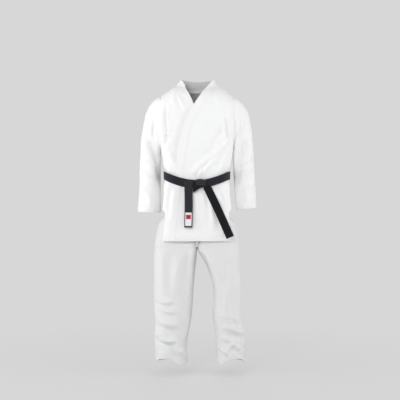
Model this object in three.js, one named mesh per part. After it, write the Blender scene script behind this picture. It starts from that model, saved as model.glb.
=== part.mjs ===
// A crossed cotton jacket, loose trousers and a tied belt, in the shape that they take on a standing
// wearer. Millimetres, +Z up, the front faces -Y, and +X is the wearer's left. The origin is the centre
// of the neck opening, at the height of the shoulder line.
import * as THREE from 'three';

const { lerp, smoothstep, degToRad } = THREE.MathUtils;

// ---- Driving dimensions ----------------------------------------------------------------------------
const CLOTH = 1.6;                 // canvas
const FACING = 1.2;                // turned-up cloth, tapes and linings
const GAP = 0.4;                   // clearance between pieces that touch
const LINING_GAP = 0.8;            // clearance between a panel and the cloth turned up inside it
const BAND = 3.8;                  // folded lapel and collar band
const BAND_PROUD = 0.9;            // how far the lapel stands out of its front panel
const UNDER = 5;                   // the under front lies this far inside the top front

const SHOULDER_HALF = 192;         // neck centre to armhole seam
const SHOULDER_TOP = 8;            // shoulder line beside the neck
const SHOULDER_DROP = 55;          // fall of the shoulder line to the armhole
const SHOULDER_ROUND = 110;        // roundness of the shoulder, front to back
const NECK_HALF = 100;             // where the shoulder line starts to fall
const NECK_EDGE = 112;             // where the front panels meet the collar on the shoulder
const NECK_BACK_DIP = 25;          // how far the back neckline lies below the shoulder line
const ARMPIT_Z = -312;
const ARMHOLE_DEPTH = 70;          // half the armhole, front to back
const ARMHOLE_LIMIT = 0.96;        // the armhole takes at most this share of the body's flat side

const CHEST_HALF = 186;
const CHEST_DEPTH = 118;
const WAIST_HALF = 161;
const WAIST_DEPTH = 116;
const HEM_HALF = 190;
const HEM_DEPTH = 128;
const BODY_CORNER = 52;            // corner radius of the body's section
const JACKET_HEM_Z = -790;
const VENT_TOP_Z = -600;
const VENT_RUN = 14;               // height over which a vent opens
const HEM_FOLD = 25;               // height of the turned-up jacket hem

const LAPEL_WIDTH = 38;
const COLLAR_START_Z = -8;         // where the collar band ends and the lapels begin

const BELT_WIDTH = 40;
const BELT_THICK = 3;
const BELT_SIDE_Z = -456;          // belt centre at the sides of the waist
const BELT_FRONT_DIP = 44;         // how far it dips to the front
const BELT_BACK_RISE = 10;
const TAIL_LENGTH_RIGHT = 232;
const TAIL_LENGTH_LEFT = 280;
const TIE_WIDTH = 20;

const WAISTBAND_TOP_Z = -436;
const WAISTBAND_HEIGHT = 40;
const TROUSER_INSET = 10.2;         // trouser waist lies this far inside the jacket waist
const SEAT_HALF = 221;
const SEAT_DEPTH = 108;
const CROTCH_Z = -812;
const CROTCH_DIP = 0.36;           // how far the seat sinks in at the crotch, as a share of its depth
const CROTCH_DIP_WIDTH = 45;
const LEG_START_DROP = 10;         // inner leg seam starts this far below the crotch
const LEG_TOP_SLOPE = 24;          // degrees, room for the leg to spread
const TROUSER_HEM_Z = -1425;
const LEG_TOP_DEPTH = 106;
const LEG_HEM_DEPTH = 90;
const TROUSER_HEM_FOLD = 40;

// Where the body's section changes: height, half width, half depth.
const BODY_STOPS = [
  [0, SHOULDER_HALF, CHEST_DEPTH],
  [ARMPIT_Z, CHEST_HALF, CHEST_DEPTH],
  [BELT_SIDE_Z + BELT_WIDTH, WAIST_HALF + 3, WAIST_DEPTH],
  [BELT_SIDE_Z, WAIST_HALF, WAIST_DEPTH],
  [BELT_SIDE_Z - BELT_FRONT_DIP, WAIST_HALF + 3, WAIST_DEPTH],
  [BELT_SIDE_Z - BELT_FRONT_DIP - BELT_WIDTH, lerp(WAIST_HALF, HEM_HALF, 0.3), WAIST_DEPTH],
  [JACKET_HEM_Z, HEM_HALF, HEM_DEPTH],
];

// The front edge of each front panel: height, and distance from the middle towards the panel's own side.
const LEFT_EDGE = [[45, 82], [-94, -14], [-200, -66], [-480, -118], [JACKET_HEM_Z, -150]];
const RIGHT_EDGE = [[45, 84], [-94, 14], [-200, -38], [-480, -85], [JACKET_HEM_Z, -115]];

// The trouser section: height, half width, half depth, corner radius.
const TROUSER_STOPS = [
  [WAISTBAND_TOP_Z, WAIST_HALF - TROUSER_INSET, WAIST_DEPTH - TROUSER_INSET, 50],
  [WAISTBAND_TOP_Z - 80, WAIST_HALF - TROUSER_INSET, WAIST_DEPTH - TROUSER_INSET, 52],
  [VENT_TOP_Z - VENT_RUN, WAIST_HALF - 1, SEAT_DEPTH - 3, 60],
  [lerp(VENT_TOP_Z, CROTCH_Z, 0.5), lerp(WAIST_HALF, SEAT_HALF, 0.6), SEAT_DEPTH, 80],
  [CROTCH_Z, SEAT_HALF, SEAT_DEPTH, 95],
];

// The legs stand differently: height, outer seam, inner seam, both measured outwards from the middle.
const LEG_STOPS = {
  left: [
    [CROTCH_Z, SEAT_HALF, 16],
    [-940, 224, 57],
    [-1040, 227, 84],
    [-1190, 231, 82],
    [-1270, 252, 96],
    [TROUSER_HEM_Z, 245, 103],
  ],
  right: [
    [CROTCH_Z, SEAT_HALF, 16],
    [-940, 222, 12],
    [-1040, 223, 20],
    [-1190, 219, 30],
    [-1300, 220, 50],
    [TROUSER_HEM_Z, 214, 50],
  ],
};

// Sleeve outlines from armhole to cuff, [distance from the middle, height]: over the arm and under it.
const SLEEVE_OVER = [
  [SHOULDER_HALF + GAP + 0.2, SHOULDER_TOP - SHOULDER_DROP - GAP],
  [215, -60], [240, -87], [264, -130], [281, -200], [294, -360],
];
const SLEEVE_UNDER = [
  [CHEST_HALF + GAP + 0.4, ARMPIT_Z + 1],
  [187.2, -314], [187.6, -318], [187.6, -326], [187.6, -350], [187.6, -450],
];
const CUFF = {
  left: { over: [307, -622], under: [203, -632] },
  right: { over: [307, -643], under: [188, -646] },
};
const CUFF_DEPTH = 58;
const ARM_FORWARD = 12;            // the cuff lies this far in front of the armhole
const CUFF_FOLD_SHARE = 0.06;      // share of the sleeve that the cuff facing lines
const SLEEVE_HEAD_SHARE = 0.6;     // the sleeve head, which folds as the arm rises, ends here

const KNOT_CORE_LEFT = -21;
const KNOT_CLEARANCE = 3;          // between the knot and the belt end that hangs beside it
const KNOT_CORE = [[KNOT_CORE_LEFT, -489], [40, -488], [44, -506], [16, -520], [-20, -545]];
const KNOT_LOOP = [[-3, -478], [45, -480], [42, -506], [-1, -504]];
const KNOT_CORE_THICK = 10;
const KNOT_LOOP_THICK = 6;

const WHITE = { color: 0xf4f4f2, roughness: 0.86, metalness: 0 };
const TROUSER_WHITE = { color: 0xe9e9ea, roughness: 0.9, metalness: 0 };
const BLACK = { color: 0x1b1a22, roughness: 0.7, metalness: 0 };
const LABEL = { color: 0xf2eef0, roughness: 0.6, metalness: 0 };

// ---- Helpers ---------------------------------------------------------------------------------------

// A smooth value through [position, value...] stops that run downwards (cubic Hermite).
function through(stops, position, column = 1) {
  const last = stops.length - 1;
  let i = 0;
  while (i < last - 1 && position < stops[i + 1][0]) i += 1;
  const slope = (a, b) => (stops[b][column] - stops[a][column]) / (stops[b][0] - stops[a][0]);
  const span = stops[i + 1][0] - stops[i][0];
  const t = THREE.MathUtils.clamp((position - stops[i][0]) / span, 0, 1);
  const before = slope(Math.max(i - 1, 0), i + 1) * span;
  const after = slope(i, Math.min(i + 2, last)) * span;
  const [t2, t3] = [t * t, t * t * t];
  return stops[i][column] * (2 * t3 - 3 * t2 + 1) + before * (t3 - 2 * t2 + t)
    + stops[i + 1][column] * (3 * t2 - 2 * t3) + after * (t3 - t2);
}

const group = new THREE.Group();

// Adds a named mesh with its own material.
function addMesh(name, geometry, look) {
  const mesh = new THREE.Mesh(geometry, new THREE.MeshStandardMaterial(look));
  mesh.name = name;
  group.add(mesh);
  return mesh;
}

// A closed cloth wall. surface(u, v, inset) gives a point, inset being the depth below the outer face;
// the wall runs from inset near to inset far. A looped wall joins its last column to its first.
function addWall(name, look, columns, rows, surface, near, far, looped = false) {
  const across = looped ? columns : columns + 1;
  const positions = [];
  for (const inset of [near, far]) {
    for (let j = 0; j <= rows; j += 1) {
      for (let i = 0; i < across; i += 1) {
        positions.push(...surface(i / columns, j / rows, inset));
      }
    }
  }
  const layer = across * (rows + 1);
  const at = (i, j, side) => side * layer + j * across + (i % across);
  const index = [];
  const quad = (a, b, c, d) => index.push(a, b, c, a, c, d);
  for (let j = 0; j < rows; j += 1) {
    for (let i = 0; i < columns; i += 1) {
      quad(at(i, j, 0), at(i, j + 1, 0), at(i + 1, j + 1, 0), at(i + 1, j, 0));
      quad(at(i, j, 1), at(i + 1, j, 1), at(i + 1, j + 1, 1), at(i, j + 1, 1));
    }
  }
  for (let i = 0; i < columns; i += 1) {
    quad(at(i, 0, 0), at(i + 1, 0, 0), at(i + 1, 0, 1), at(i, 0, 1));
    quad(at(i, rows, 0), at(i, rows, 1), at(i + 1, rows, 1), at(i + 1, rows, 0));
  }
  for (let j = 0; j < rows && !looped; j += 1) {
    quad(at(0, j, 0), at(0, j, 1), at(0, j + 1, 1), at(0, j + 1, 0));
    quad(at(columns, j, 0), at(columns, j + 1, 0), at(columns, j + 1, 1), at(columns, j, 1));
  }
  const geometry = new THREE.BufferGeometry();
  geometry.setAttribute('position', new THREE.Float32BufferAttribute(positions, 3));
  geometry.setIndex(signedVolume(positions, index) < 0 ? index.reverse() : index);
  geometry.computeVertexNormals();
  return addMesh(name, geometry, look);
}

// Six times the volume that the triangles enclose, negative when they face inwards.
function signedVolume(positions, index) {
  const corner = (k) => new THREE.Vector3().fromArray(positions, 3 * index[k]);
  let total = 0;
  for (let k = 0; k < index.length; k += 3) {
    total += corner(k).dot(corner(k + 1).cross(corner(k + 2)));
  }
  return total;
}

// A surface that moves along its own normal as the inset grows; towards is a point inside the object.
function offsetSurface(base, outwards) {
  const step = 1e-3;
  return (u, v, inset) => {
    const point = new THREE.Vector3(...base(u, v));
    const alongU = new THREE.Vector3(...base(u + step, v)).sub(new THREE.Vector3(...base(u - step, v)));
    const alongV = new THREE.Vector3(...base(u, v + step)).sub(new THREE.Vector3(...base(u, v - step)));
    const normal = alongU.cross(alongV).normalize();
    if (normal.dot(outwards(point)) < 0) normal.negate();
    return point.addScaledVector(normal, -inset).toArray();
  };
}

// One quarter of a rounded rectangle, unrolled: q is 0 at the middle of the front, 1 where the corner
// starts, 2 where it ends and 3 at the side seam. Negative q is the wearer's right.
function section(q, back, halfWidth, halfDepth, corner) {
  const a = Math.abs(q);
  const turn = (Math.PI / 2) * THREE.MathUtils.clamp(a - 1, 0, 1);
  const flat = Math.min(a, 1) * (halfWidth - corner);
  const x = flat + corner * Math.sin(turn);
  const y = (halfDepth - corner) * Math.min(1, 3 - a) + corner * Math.cos(turn) + GAP / 2;
  return [Math.sign(q) * x, back ? y : -y];
}

// The inverse of section for a point on the front or the corner.
function sectionQ(x, halfWidth, corner) {
  const a = Math.abs(x);
  const flat = halfWidth - corner;
  if (a <= flat) return x / flat;
  return Math.sign(x) * (1 + Math.asin(Math.min(1, (a - flat) / corner)) / (Math.PI / 2));
}

// ---- The jacket body's surface -----------------------------------------------------------------------

function shoulderLine(x) {
  const out = Math.max(0, (Math.abs(x) - NECK_HALF) / (SHOULDER_HALF - NECK_HALF));
  return SHOULDER_TOP - SHOULDER_DROP * Math.pow(Math.min(out, 1.05), 1.25);
}

// How far the body has rounded over from the shoulder line, 0 on the line and 1 below the round.
function roundOver(drop) {
  return Math.sqrt(1 - (1 - THREE.MathUtils.clamp(drop / SHOULDER_ROUND, 0, 1)) ** 2);
}

// A point of the body's section at height z, thinned front to back by the share round.
function bodySection(q, back, z, inset, round = 1) {
  const width = through(BODY_STOPS, z, 1) - inset;
  const depth = through(BODY_STOPS, z, 2) - inset;
  const [x, y] = section(q, back, width, depth, BODY_CORNER - inset);
  return [x, y * round, z];
}

// A point of the body at distance x from the middle and height z (the height before the inset).
function bodyAt(x, z, inset = 0, back = false) {
  const top = shoulderLine(x);
  const fall = (top - z) / (top - ARMPIT_Z);
  const q = sectionQ(x, through(BODY_STOPS, z, 1), BODY_CORNER);
  if (fall >= 1) return bodySection(q, back, z, inset);
  const height = lerp(top - inset, ARMPIT_Z, Math.max(fall, 0));
  return bodySection(q, back, height, inset, roundOver(top - inset - height));
}

// A point of the body at section position q in row 0 (shoulder line) to 1 (armpit) to 2 (hem).
function bodyRow(q, back, row, inset, topDrop = () => 0) {
  if (row >= 1) return bodySection(q, back, rowHeight(row), inset);
  const x = bodySection(q, back, rowHeight(row), 0)[0];
  const start = shoulderLine(x) - inset;
  const z = lerp(start - topDrop(x), ARMPIT_Z, row);
  return bodySection(q, back, z, inset, roundOver(start - z));
}

// The rows that every jacket panel shares, so that neighbours meet: 0 is the shoulder line, 1 is the
// armpit and 2 the hem. The collar ends, and the lapels start, at one of them.
const FIRST_LAPEL_ROW = 2;
const COLLAR_ROW = (SHOULDER_TOP - COLLAR_START_Z) / (SHOULDER_TOP - ARMPIT_Z);
const ROWS = [0, COLLAR_ROW / 4, COLLAR_ROW, 0.11, 0.18, 0.27, 0.38, 0.51, 0.66, 0.83, 1];
const ROW_HEIGHTS = [
  lerp(ARMPIT_Z, BELT_SIDE_Z + BELT_WIDTH, 0.5),
  BELT_SIDE_Z + BELT_WIDTH,
  BELT_SIDE_Z,
  BELT_SIDE_Z - BELT_FRONT_DIP,
  BELT_SIDE_Z - BELT_FRONT_DIP - BELT_WIDTH,
  VENT_TOP_Z,
  VENT_TOP_Z - VENT_RUN,
  lerp(VENT_TOP_Z, JACKET_HEM_Z, 0.5),
  JACKET_HEM_Z,
];
ROWS.push(...ROW_HEIGHTS.map((z) => 1 + (z - ARMPIT_Z) / (JACKET_HEM_Z - ARMPIT_Z)));

// The shared row at share v of the way from row number first to the last.
function rowOf(v, first = 0) {
  const place = lerp(first, ROWS.length - 1, v);
  const i = Math.min(Math.floor(place), ROWS.length - 2);
  return lerp(ROWS[i], ROWS[i + 1], place - i);
}

// Height of a row where the shoulder line is highest.
function rowHeight(row) {
  return row < 1 ? lerp(SHOULDER_TOP, ARMPIT_Z, row) : lerp(ARMPIT_Z, JACKET_HEM_Z, row - 1);
}

// Panel columns keep their place across the front, and only the last few follow the outer edge.
const CORNER_Q = 1.25;
const CORNER_SHARE = 0.7;
function columnQ(u, innerQ, outerQ) {
  if (u < CORNER_SHARE) return lerp(innerQ, CORNER_Q, u / CORNER_SHARE);
  return lerp(CORNER_Q, outerQ, (u - CORNER_SHARE) / (1 - CORNER_SHARE));
}

// Section position of the panels' outer edge: the armhole, then the side seam, then the vent.
function sideEdgeQ(row) {
  if (row >= 1) {
    const z = lerp(ARMPIT_Z, JACKET_HEM_Z, row - 1);
    const ventEdge = 1.5;
    return lerp(ventEdge, 3, smoothstep(z, VENT_TOP_Z - VENT_RUN, VENT_TOP_Z));
  }
  const drop = row * (SHOULDER_TOP - SHOULDER_DROP - ARMPIT_Z);
  const flat = (CHEST_DEPTH - BODY_CORNER) * roundOver(drop);
  const open = ARMHOLE_DEPTH * Math.sqrt(Math.max(0, 1 - (2 * row - 1) ** 2));
  return 3 - Math.min(open / Math.max(flat, 1), ARMHOLE_LIMIT);
}

// ---- Front panels and lapels -------------------------------------------------------------------------

const EDGES = { left: LEFT_EDGE, right: RIGHT_EDGE };
const SIGN = { left: 1, right: -1 };

// Inner and outer edge of a lapel at a height, as distances towards its own side. The band keeps its
// width square to its run.
function lapelSpan(side, z) {
  const edge = through(EDGES[side], z);
  const slope = through(EDGES[side], z + 1) - through(EDGES[side], z - 1);
  return [edge, edge + LAPEL_WIDTH * Math.hypot(1, slope / 2)];
}

// How far a point of the right front lies inside, under the left front.
function underlap(side, out, z) {
  if (side === 'left') return 0;
  const topEdge = -through(LEFT_EDGE, z);
  return UNDER * (1 - smoothstep(out, topEdge + 8, topEdge + 36));
}

// Section position where a front panel meets its lapel, or the collar above it.
function panelEdgeQ(side, row) {
  const z = rowHeight(row);
  const low = lapelSpan(side, Math.min(z, COLLAR_START_Z))[1] + GAP;
  const out = lerp(low, NECK_EDGE, smoothstep(z, COLLAR_START_Z, SHOULDER_TOP));
  return sectionQ(out, through(BODY_STOPS, z, 1), BODY_CORNER);
}

// The turned-up hem inside a panel.
function addHemFacing(name, panel, columns) {
  const foldRow = HEM_FOLD / (ARMPIT_Z - JACKET_HEM_Z);
  const near = CLOTH + LINING_GAP;
  const surface = (u, v, inset) => panel(u, 2 - foldRow * (1 - v), inset);
  addWall(`hem_facing_${name}`, WHITE, columns, 1, surface, near, near + FACING);
}

function addFront(side) {
  const surface = (u, row, inset) => {
    const q = columnQ(u, panelEdgeQ(side, row), sideEdgeQ(row));
    const flat = bodyRow(SIGN[side] * q, false, row, inset);
    const under = underlap(side, SIGN[side] * flat[0], flat[2]);
    return bodyRow(SIGN[side] * q, false, row, inset + under);
  };
  const rows = (u, v, inset) => surface(u, rowOf(v), inset);
  addWall(`jacket_front_${side}`, WHITE, 10, ROWS.length - 1, rows, 0, CLOTH);
  addHemFacing(side, surface, 10);
}

function addLapel(side) {
  const surface = (u, v, inset) => {
    const z = rowHeight(rowOf(v, FIRST_LAPEL_ROW));
    const [inner, outer] = lapelSpan(side, z);
    const out = lerp(inner, outer, u);
    return bodyAt(SIGN[side] * out, z, inset + underlap(side, out, z));
  };
  const rows = ROWS.length - 1 - FIRST_LAPEL_ROW;
  addWall(`lapel_${side}`, WHITE, 2, rows, surface, -BAND_PROUD, BAND - BAND_PROUD);
}

// The band behind the neck: it stands up beside the neck and leans in, then runs down to the lapels.
function addCollar() {
  const start = {};
  for (const side of ['left', 'right']) {
    const z = COLLAR_START_Z + GAP;
    start[side] = lapelSpan(side, COLLAR_START_Z).map((out) => bodyAt(SIGN[side] * out, z, BAND_PROUD / 2));
  }
  const upper = [[66, -44, 18], [84, -6, 44], [66, 44, 43]];
  const lower = [[100, -36, 1], [106, 2, 4], [86, 52, -4]];
  const mirrored = (points) => points.map(([x, y, z]) => [-x, y, z]).reverse();
  const curve = (first, points, middle, last) => new THREE.CatmullRomCurve3(
    [first, ...points, middle, ...mirrored(points), last].map((p) => new THREE.Vector3(...p)),
  );
  const top = curve(start.left[0], upper, [0, 63, 38], start.right[0]);
  const bottom = curve(start.left[1], lower, [0, 80, -2], start.right[1]);
  const base = (u, v) => {
    const t = THREE.MathUtils.clamp(u, 0, 1);
    return top.getPoint(t).lerp(bottom.getPoint(t), v).toArray();
  };
  const outwards = (p) => new THREE.Vector3(p.x, p.y, 0);
  const surface = offsetSurface(base, outwards);
  addWall('collar_band', WHITE, 28, 2, surface, -BAND / 2, BAND / 2);
}

// ---- The rest of the jacket ----------------------------------------------------------------------------

function addBack() {
  const neckDrop = (x) => NECK_BACK_DIP * Math.sqrt(Math.max(0, 1 - (x / NECK_EDGE) ** 2));
  const surface = (u, row, inset) => {
    const q = Math.sign(u - 0.5) * columnQ(Math.abs(2 * u - 1), 0, sideEdgeQ(row));
    return bodyRow(q, true, row, inset, neckDrop);
  };
  const rows = (u, v, inset) => surface(u, rowOf(v), inset);
  addWall('jacket_back', WHITE, 20, ROWS.length - 1, rows, 0, CLOTH);
  addHemFacing('back', surface, 20);
}

// A second layer inside the shoulder, front to back over the shoulder line.
function addShoulderLining(side) {
  const reach = 60;
  const surface = (u, v, inset) => {
    const x = SIGN[side] * lerp(NECK_EDGE + 14, SHOULDER_HALF - 6, u);
    const along = lerp(-1, 1, v);
    const point = bodyAt(x, shoulderLine(x) - reach * along ** 2, inset, along > 0);
    return along === 0 ? [point[0], 0, point[2]] : point;
  };
  const near = CLOTH + 1.8 * LINING_GAP;
  addWall(`shoulder_lining_${side}`, WHITE, 4, 8, surface, near, near + FACING);
}

function addVentPatch(side) {
  const half = 0.45;
  const height = 30;
  const surface = (u, v, inset) => {
    const along = lerp(-half, half, u);
    const z = lerp(VENT_TOP_Z + height, VENT_TOP_Z + GAP, v);
    const [x, y] = bodySection(3 - Math.abs(along), along > 0, z, inset);
    return [SIGN[side] * x, along === 0 ? 0 : y, z];
  };
  const near = CLOTH + LINING_GAP;
  addWall(`vent_patch_${side}`, WHITE, 4, 1, surface, near, near + FACING);
}

// ---- Sleeves ---------------------------------------------------------------------------------------------

function sleeveSurface(side) {
  const curve = (points) => new THREE.CatmullRomCurve3(
    points.map(([x, z]) => new THREE.Vector3(SIGN[side] * x, 0, z)),
  );
  const over = curve([...SLEEVE_OVER, CUFF[side].over]);
  const under = curve([...SLEEVE_UNDER, CUFF[side].under]);
  return (u, v, inset) => {
    const top = over.getPoint(v);
    const bottom = under.getPoint(v);
    const centre = top.clone().add(bottom).multiplyScalar(0.5);
    const reach = top.clone().sub(bottom).multiplyScalar(0.5);
    const turn = 2 * Math.PI * u;
    const depth = lerp(ARMHOLE_DEPTH, CUFF_DEPTH, v) - inset;
    centre.addScaledVector(reach, Math.cos(turn) * (1 - inset / reach.length()));
    centre.y = depth * Math.sin(turn) - ARM_FORWARD * v;
    const seam = SIGN[side] * (through(BODY_STOPS, centre.z, 1) + GAP);
    centre.x = lerp(seam, centre.x, smoothstep(v, 0, 0.2));
    return centre.toArray();
  };
}

function addSleeve(side) {
  const surface = sleeveSurface(side);
  const head = (u, v, inset) => surface(u, SLEEVE_HEAD_SHARE * v, inset);
  addWall(`sleeve_head_${side}`, WHITE, 18, 7, head, 0, CLOTH, true);
  const seam = SLEEVE_HEAD_SHARE + 2 * GAP / Math.abs(ARMPIT_Z);
  const lower = (u, v, inset) => surface(u, lerp(seam, 1, v), inset);
  addWall(`sleeve_${side}`, WHITE, 18, 6, lower, 0, CLOTH, true);
  const lined = (u, v, inset) => surface(u, 1 - CUFF_FOLD_SHARE * (1 - v), inset);
  addWall(`cuff_facing_${side}`, WHITE, 18, 1, lined, CLOTH + GAP, CLOTH + GAP + FACING, true);
}

// ---- Belt, ties and knot -----------------------------------------------------------------------------------

// Height of the belt's centre line round the waist: it dips to the middle with the square of the distance.
function beltHeight(q, back) {
  const [x] = section(q, back, WAIST_HALF, WAIST_DEPTH, BODY_CORNER);
  const middle = 1 - (x / WAIST_HALF) ** 2;
  return BELT_SIDE_Z + middle * (back ? BELT_BACK_RISE : -BELT_FRONT_DIP);
}

function waistPoint(q, back, across, width, inset) {
  return bodySection(q, back, beltHeight(q, back) - across * width, inset);
}

const TIE_NEAR = -(BAND_PROUD + GAP + FACING);
const INNER_WRAP = TIE_NEAR - LINING_GAP - BELT_THICK;
const OUTER_WRAP = INNER_WRAP - GAP - BELT_THICK;
const TAIL_NEAR = OUTER_WRAP - GAP - BELT_THICK;

function addWrap(name, near) {
  const surface = (u, v, inset) => {
    const back = u >= 0.5;
    const q = back ? 3 - 12 * (u - 0.5) : 12 * u - 3;
    return waistPoint(q, back, v - 0.5, BELT_WIDTH, inset);
  };
  addWall(name, BLACK, 60, 1, surface, near, near + BELT_THICK, true);
}

function addTie(name, fromQ, toQ, near) {
  const surface = (u, v, inset) => waistPoint(lerp(fromQ, toQ, u), false, v - 0.5, TIE_WIDTH, inset);
  addWall(name, WHITE, 5, 1, surface, near, near + FACING);
}

const STRAP_REACH = 100;           // further out, a belt end hangs straight on instead of round the hip

// A hanging belt end, following the skirt a little in front of it. path(v) gives [x, z].
function addStrap(name, look, path, width, near, thick, rows) {
  const step = 1e-3;
  const surface = (u, v, inset) => {
    const [x, z] = path(v);
    const [x1, z1] = path(v - step);
    const [x2, z2] = path(v + step);
    const length = Math.hypot(x2 - x1, z2 - z1);
    const side = (u - 0.5) * width;
    const cutSlant = v === 1 ? side * 0.3 : 0;
    const pointX = x + (side * (z1 - z2)) / length;
    const point = bodyAt(Math.min(pointX, STRAP_REACH), z + (side * (x2 - x1)) / length + cutSlant, inset);
    return [pointX, point[1], point[2]];
  };
  addWall(name, look, 4, rows, surface, near, near + thick);
}

function addBelt() {
  addWrap('belt_wrap_inner', INNER_WRAP);
  addWrap('belt_wrap_outer', OUTER_WRAP);
  const beltFront = BELT_SIDE_Z - BELT_FRONT_DIP;
  const rightX = KNOT_CORE_LEFT - KNOT_CLEARANCE - BELT_WIDTH / 2;
  const rightPath = (v) => [rightX, beltFront + 12 - TAIL_LENGTH_RIGHT * v];
  addStrap('belt_tail_right', BLACK, rightPath, BELT_WIDTH, TAIL_NEAR, BELT_THICK, 8);
  const labelPath = (v) => rightPath(lerp(0.7, 0.94, v));
  addStrap('belt_label', LABEL, labelPath, BELT_WIDTH - 4, TAIL_NEAR - GAP - 0.8, 0.8, 2);
  const leftPath = (v) => [
    50 + 118 * v + 10 * v * (1 - v),
    beltFront - BELT_WIDTH / 2 - 2 - TAIL_LENGTH_LEFT * 0.885 * v,
  ];
  addStrap('belt_tail_left', BLACK, leftPath, BELT_WIDTH, TAIL_NEAR, BELT_THICK, 8);
  const front = bodyAt(0, beltFront, OUTER_WRAP - GAP)[1];
  addPlate('belt_knot_core', KNOT_CORE, KNOT_CORE_THICK, front);
  addPlate('belt_knot_loop', KNOT_LOOP, KNOT_LOOP_THICK, front - KNOT_CORE_THICK - GAP);
}

// A flat piece with an outline in X and Z, standing forwards from the plane y = back.
function addPlate(name, outline, thick, back) {
  const shape = new THREE.Shape(outline.map(([x, z]) => new THREE.Vector2(x, z)));
  const geometry = new THREE.ExtrudeGeometry(shape, { depth: thick, bevelEnabled: false });
  geometry.rotateX(Math.PI / 2);
  geometry.translate(0, back, 0);
  addMesh(name, geometry, BLACK);
}

function addTies() {
  addTie('tie_outer_front', -0.9, -1.6, TIE_NEAR);
  addTie('tie_outer_side', -2.05, -2.9, TIE_NEAR);
  const behindUnderLapel = UNDER - BAND_PROUD + BAND + GAP;
  addTie('tie_inner_front', 0.5, 1.4, behindUnderLapel);
  addTie('tie_inner_side', 2.05, 2.9, CLOTH + 1.7 * LINING_GAP);
}

// ---- Trousers ------------------------------------------------------------------------------------------------

function trouserPoint(q, back, z, inset) {
  const width = through(TROUSER_STOPS, z, 1) - inset;
  const depth = through(TROUSER_STOPS, z, 2) - inset;
  const corner = through(TROUSER_STOPS, z, 3) - inset;
  const [x, y] = section(q, back, width, depth, corner);
  const low = smoothstep(-z, -lerp(VENT_TOP_Z, CROTCH_Z, 0.4), -CROTCH_Z);
  return [x, y * (1 - CROTCH_DIP * low * Math.exp(-((x / CROTCH_DIP_WIDTH) ** 2))), z];
}

function addSeat(name, back) {
  const top = WAISTBAND_TOP_Z - WAISTBAND_HEIGHT - GAP;
  const surface = (u, v, inset) => trouserPoint(lerp(-3, 3, u), back, lerp(top, CROTCH_Z, v), inset);
  addWall(name, TROUSER_WHITE, 18, 9, surface, 0, CLOTH);
}

function addWaistband(name, near, thick, margin) {
  const surface = (u, v, inset) => {
    const back = u >= 0.5;
    const q = back ? 3 - 12 * (u - 0.5) : 12 * u - 3;
    const z = lerp(WAISTBAND_TOP_Z - margin, WAISTBAND_TOP_Z - WAISTBAND_HEIGHT + margin, v);
    return trouserPoint(q, back, z, inset);
  };
  addWall(name, TROUSER_WHITE, 36, 1, surface, near, near + thick, true);
}

// Legs are rings between the outer and the inner seam. The first ring slopes, to leave room at the hip.
function legSurface(side) {
  const innerTop = CROTCH_Z - LEG_START_DROP;
  const outerTop = innerTop - SEAT_HALF * Math.tan(degToRad(LEG_TOP_SLOPE));
  const stops = LEG_STOPS[side];
  const squareness = 2 / 2.5;
  const soften = (value) => Math.sign(value) * Math.abs(value) ** squareness;
  return (u, v, inset) => {
    const outer = [through(stops, lerp(outerTop, TROUSER_HEM_Z, v), 1), lerp(outerTop, TROUSER_HEM_Z, v)];
    const inner = [through(stops, lerp(innerTop, TROUSER_HEM_Z, v), 2), lerp(innerTop, TROUSER_HEM_Z, v)];
    const turn = 2 * Math.PI * u;
    const reach = Math.hypot(outer[0] - inner[0], outer[1] - inner[1]) / 2;
    const along = soften(Math.cos(turn)) * (1 - inset / reach);
    const x = lerp(inner[0], outer[0], 0.5 + along / 2);
    const z = lerp(inner[1], outer[1], 0.5 + along / 2);
    const depth = lerp(LEG_TOP_DEPTH, LEG_HEM_DEPTH, v) - inset;
    return [SIGN[side] * x, depth * soften(Math.sin(turn)), z];
  };
}

function addLeg(side) {
  const surface = legSurface(side);
  addWall(`leg_${side}`, TROUSER_WHITE, 20, 10, surface, 0, CLOTH, true);
  const share = TROUSER_HEM_FOLD / (CROTCH_Z - TROUSER_HEM_Z);
  const lined = (u, v, inset) => surface(u, 1 - share * (1 - v), inset);
  addWall(`trouser_hem_${side}`, TROUSER_WHITE, 20, 1, lined, CLOTH + GAP, CLOTH + GAP + FACING, true);
  // The outer hip: it spans from the seat down to the sloping top of the leg, and folds as the leg spreads.
  const open = 140 / 360;
  const hip = (u, v, inset) => {
    const [x, y, z] = surface(lerp(-open, open, u), 0, inset);
    return [x, y, lerp(CROTCH_Z - GAP, z + GAP, v)];
  };
  addWall(`hip_panel_${side}`, TROUSER_WHITE, 14, 1, hip, 0, CLOTH);
}

// A flat diamond between the legs, sewn to the front and the back of the seat.
function addGusset() {
  const halfWidth = 14;
  const halfLength = SEAT_DEPTH * (1 - CROTCH_DIP) + 2;
  const outline = [[-halfWidth, 0], [0, -halfLength], [halfWidth, 0], [0, halfLength]];
  const shape = new THREE.Shape(outline.map(([x, y]) => new THREE.Vector2(x, y)));
  const geometry = new THREE.ExtrudeGeometry(shape, { depth: CLOTH, bevelEnabled: false });
  geometry.translate(0, 0, CROTCH_Z - GAP - CLOTH);
  addMesh('crotch_gusset', geometry, TROUSER_WHITE);
}

// ---- The uniform -----------------------------------------------------------------------------------------------

addBack();
for (const side of ['left', 'right']) {
  addFront(side);
  addLapel(side);
  addShoulderLining(side);
  addVentPatch(side);
  addSleeve(side);
  addLeg(side);
}
addCollar();
addTies();
addSeat('trouser_front', false);
addSeat('trouser_back', true);
addWaistband('waistband', 0, CLOTH, 0);
addWaistband('waist_elastic', CLOTH + GAP, FACING, 5);
addWaistband('waistband_lining', CLOTH + FACING + 2 * GAP, CLOTH, 0);
addGusset();
addBelt();

export default group;
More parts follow.
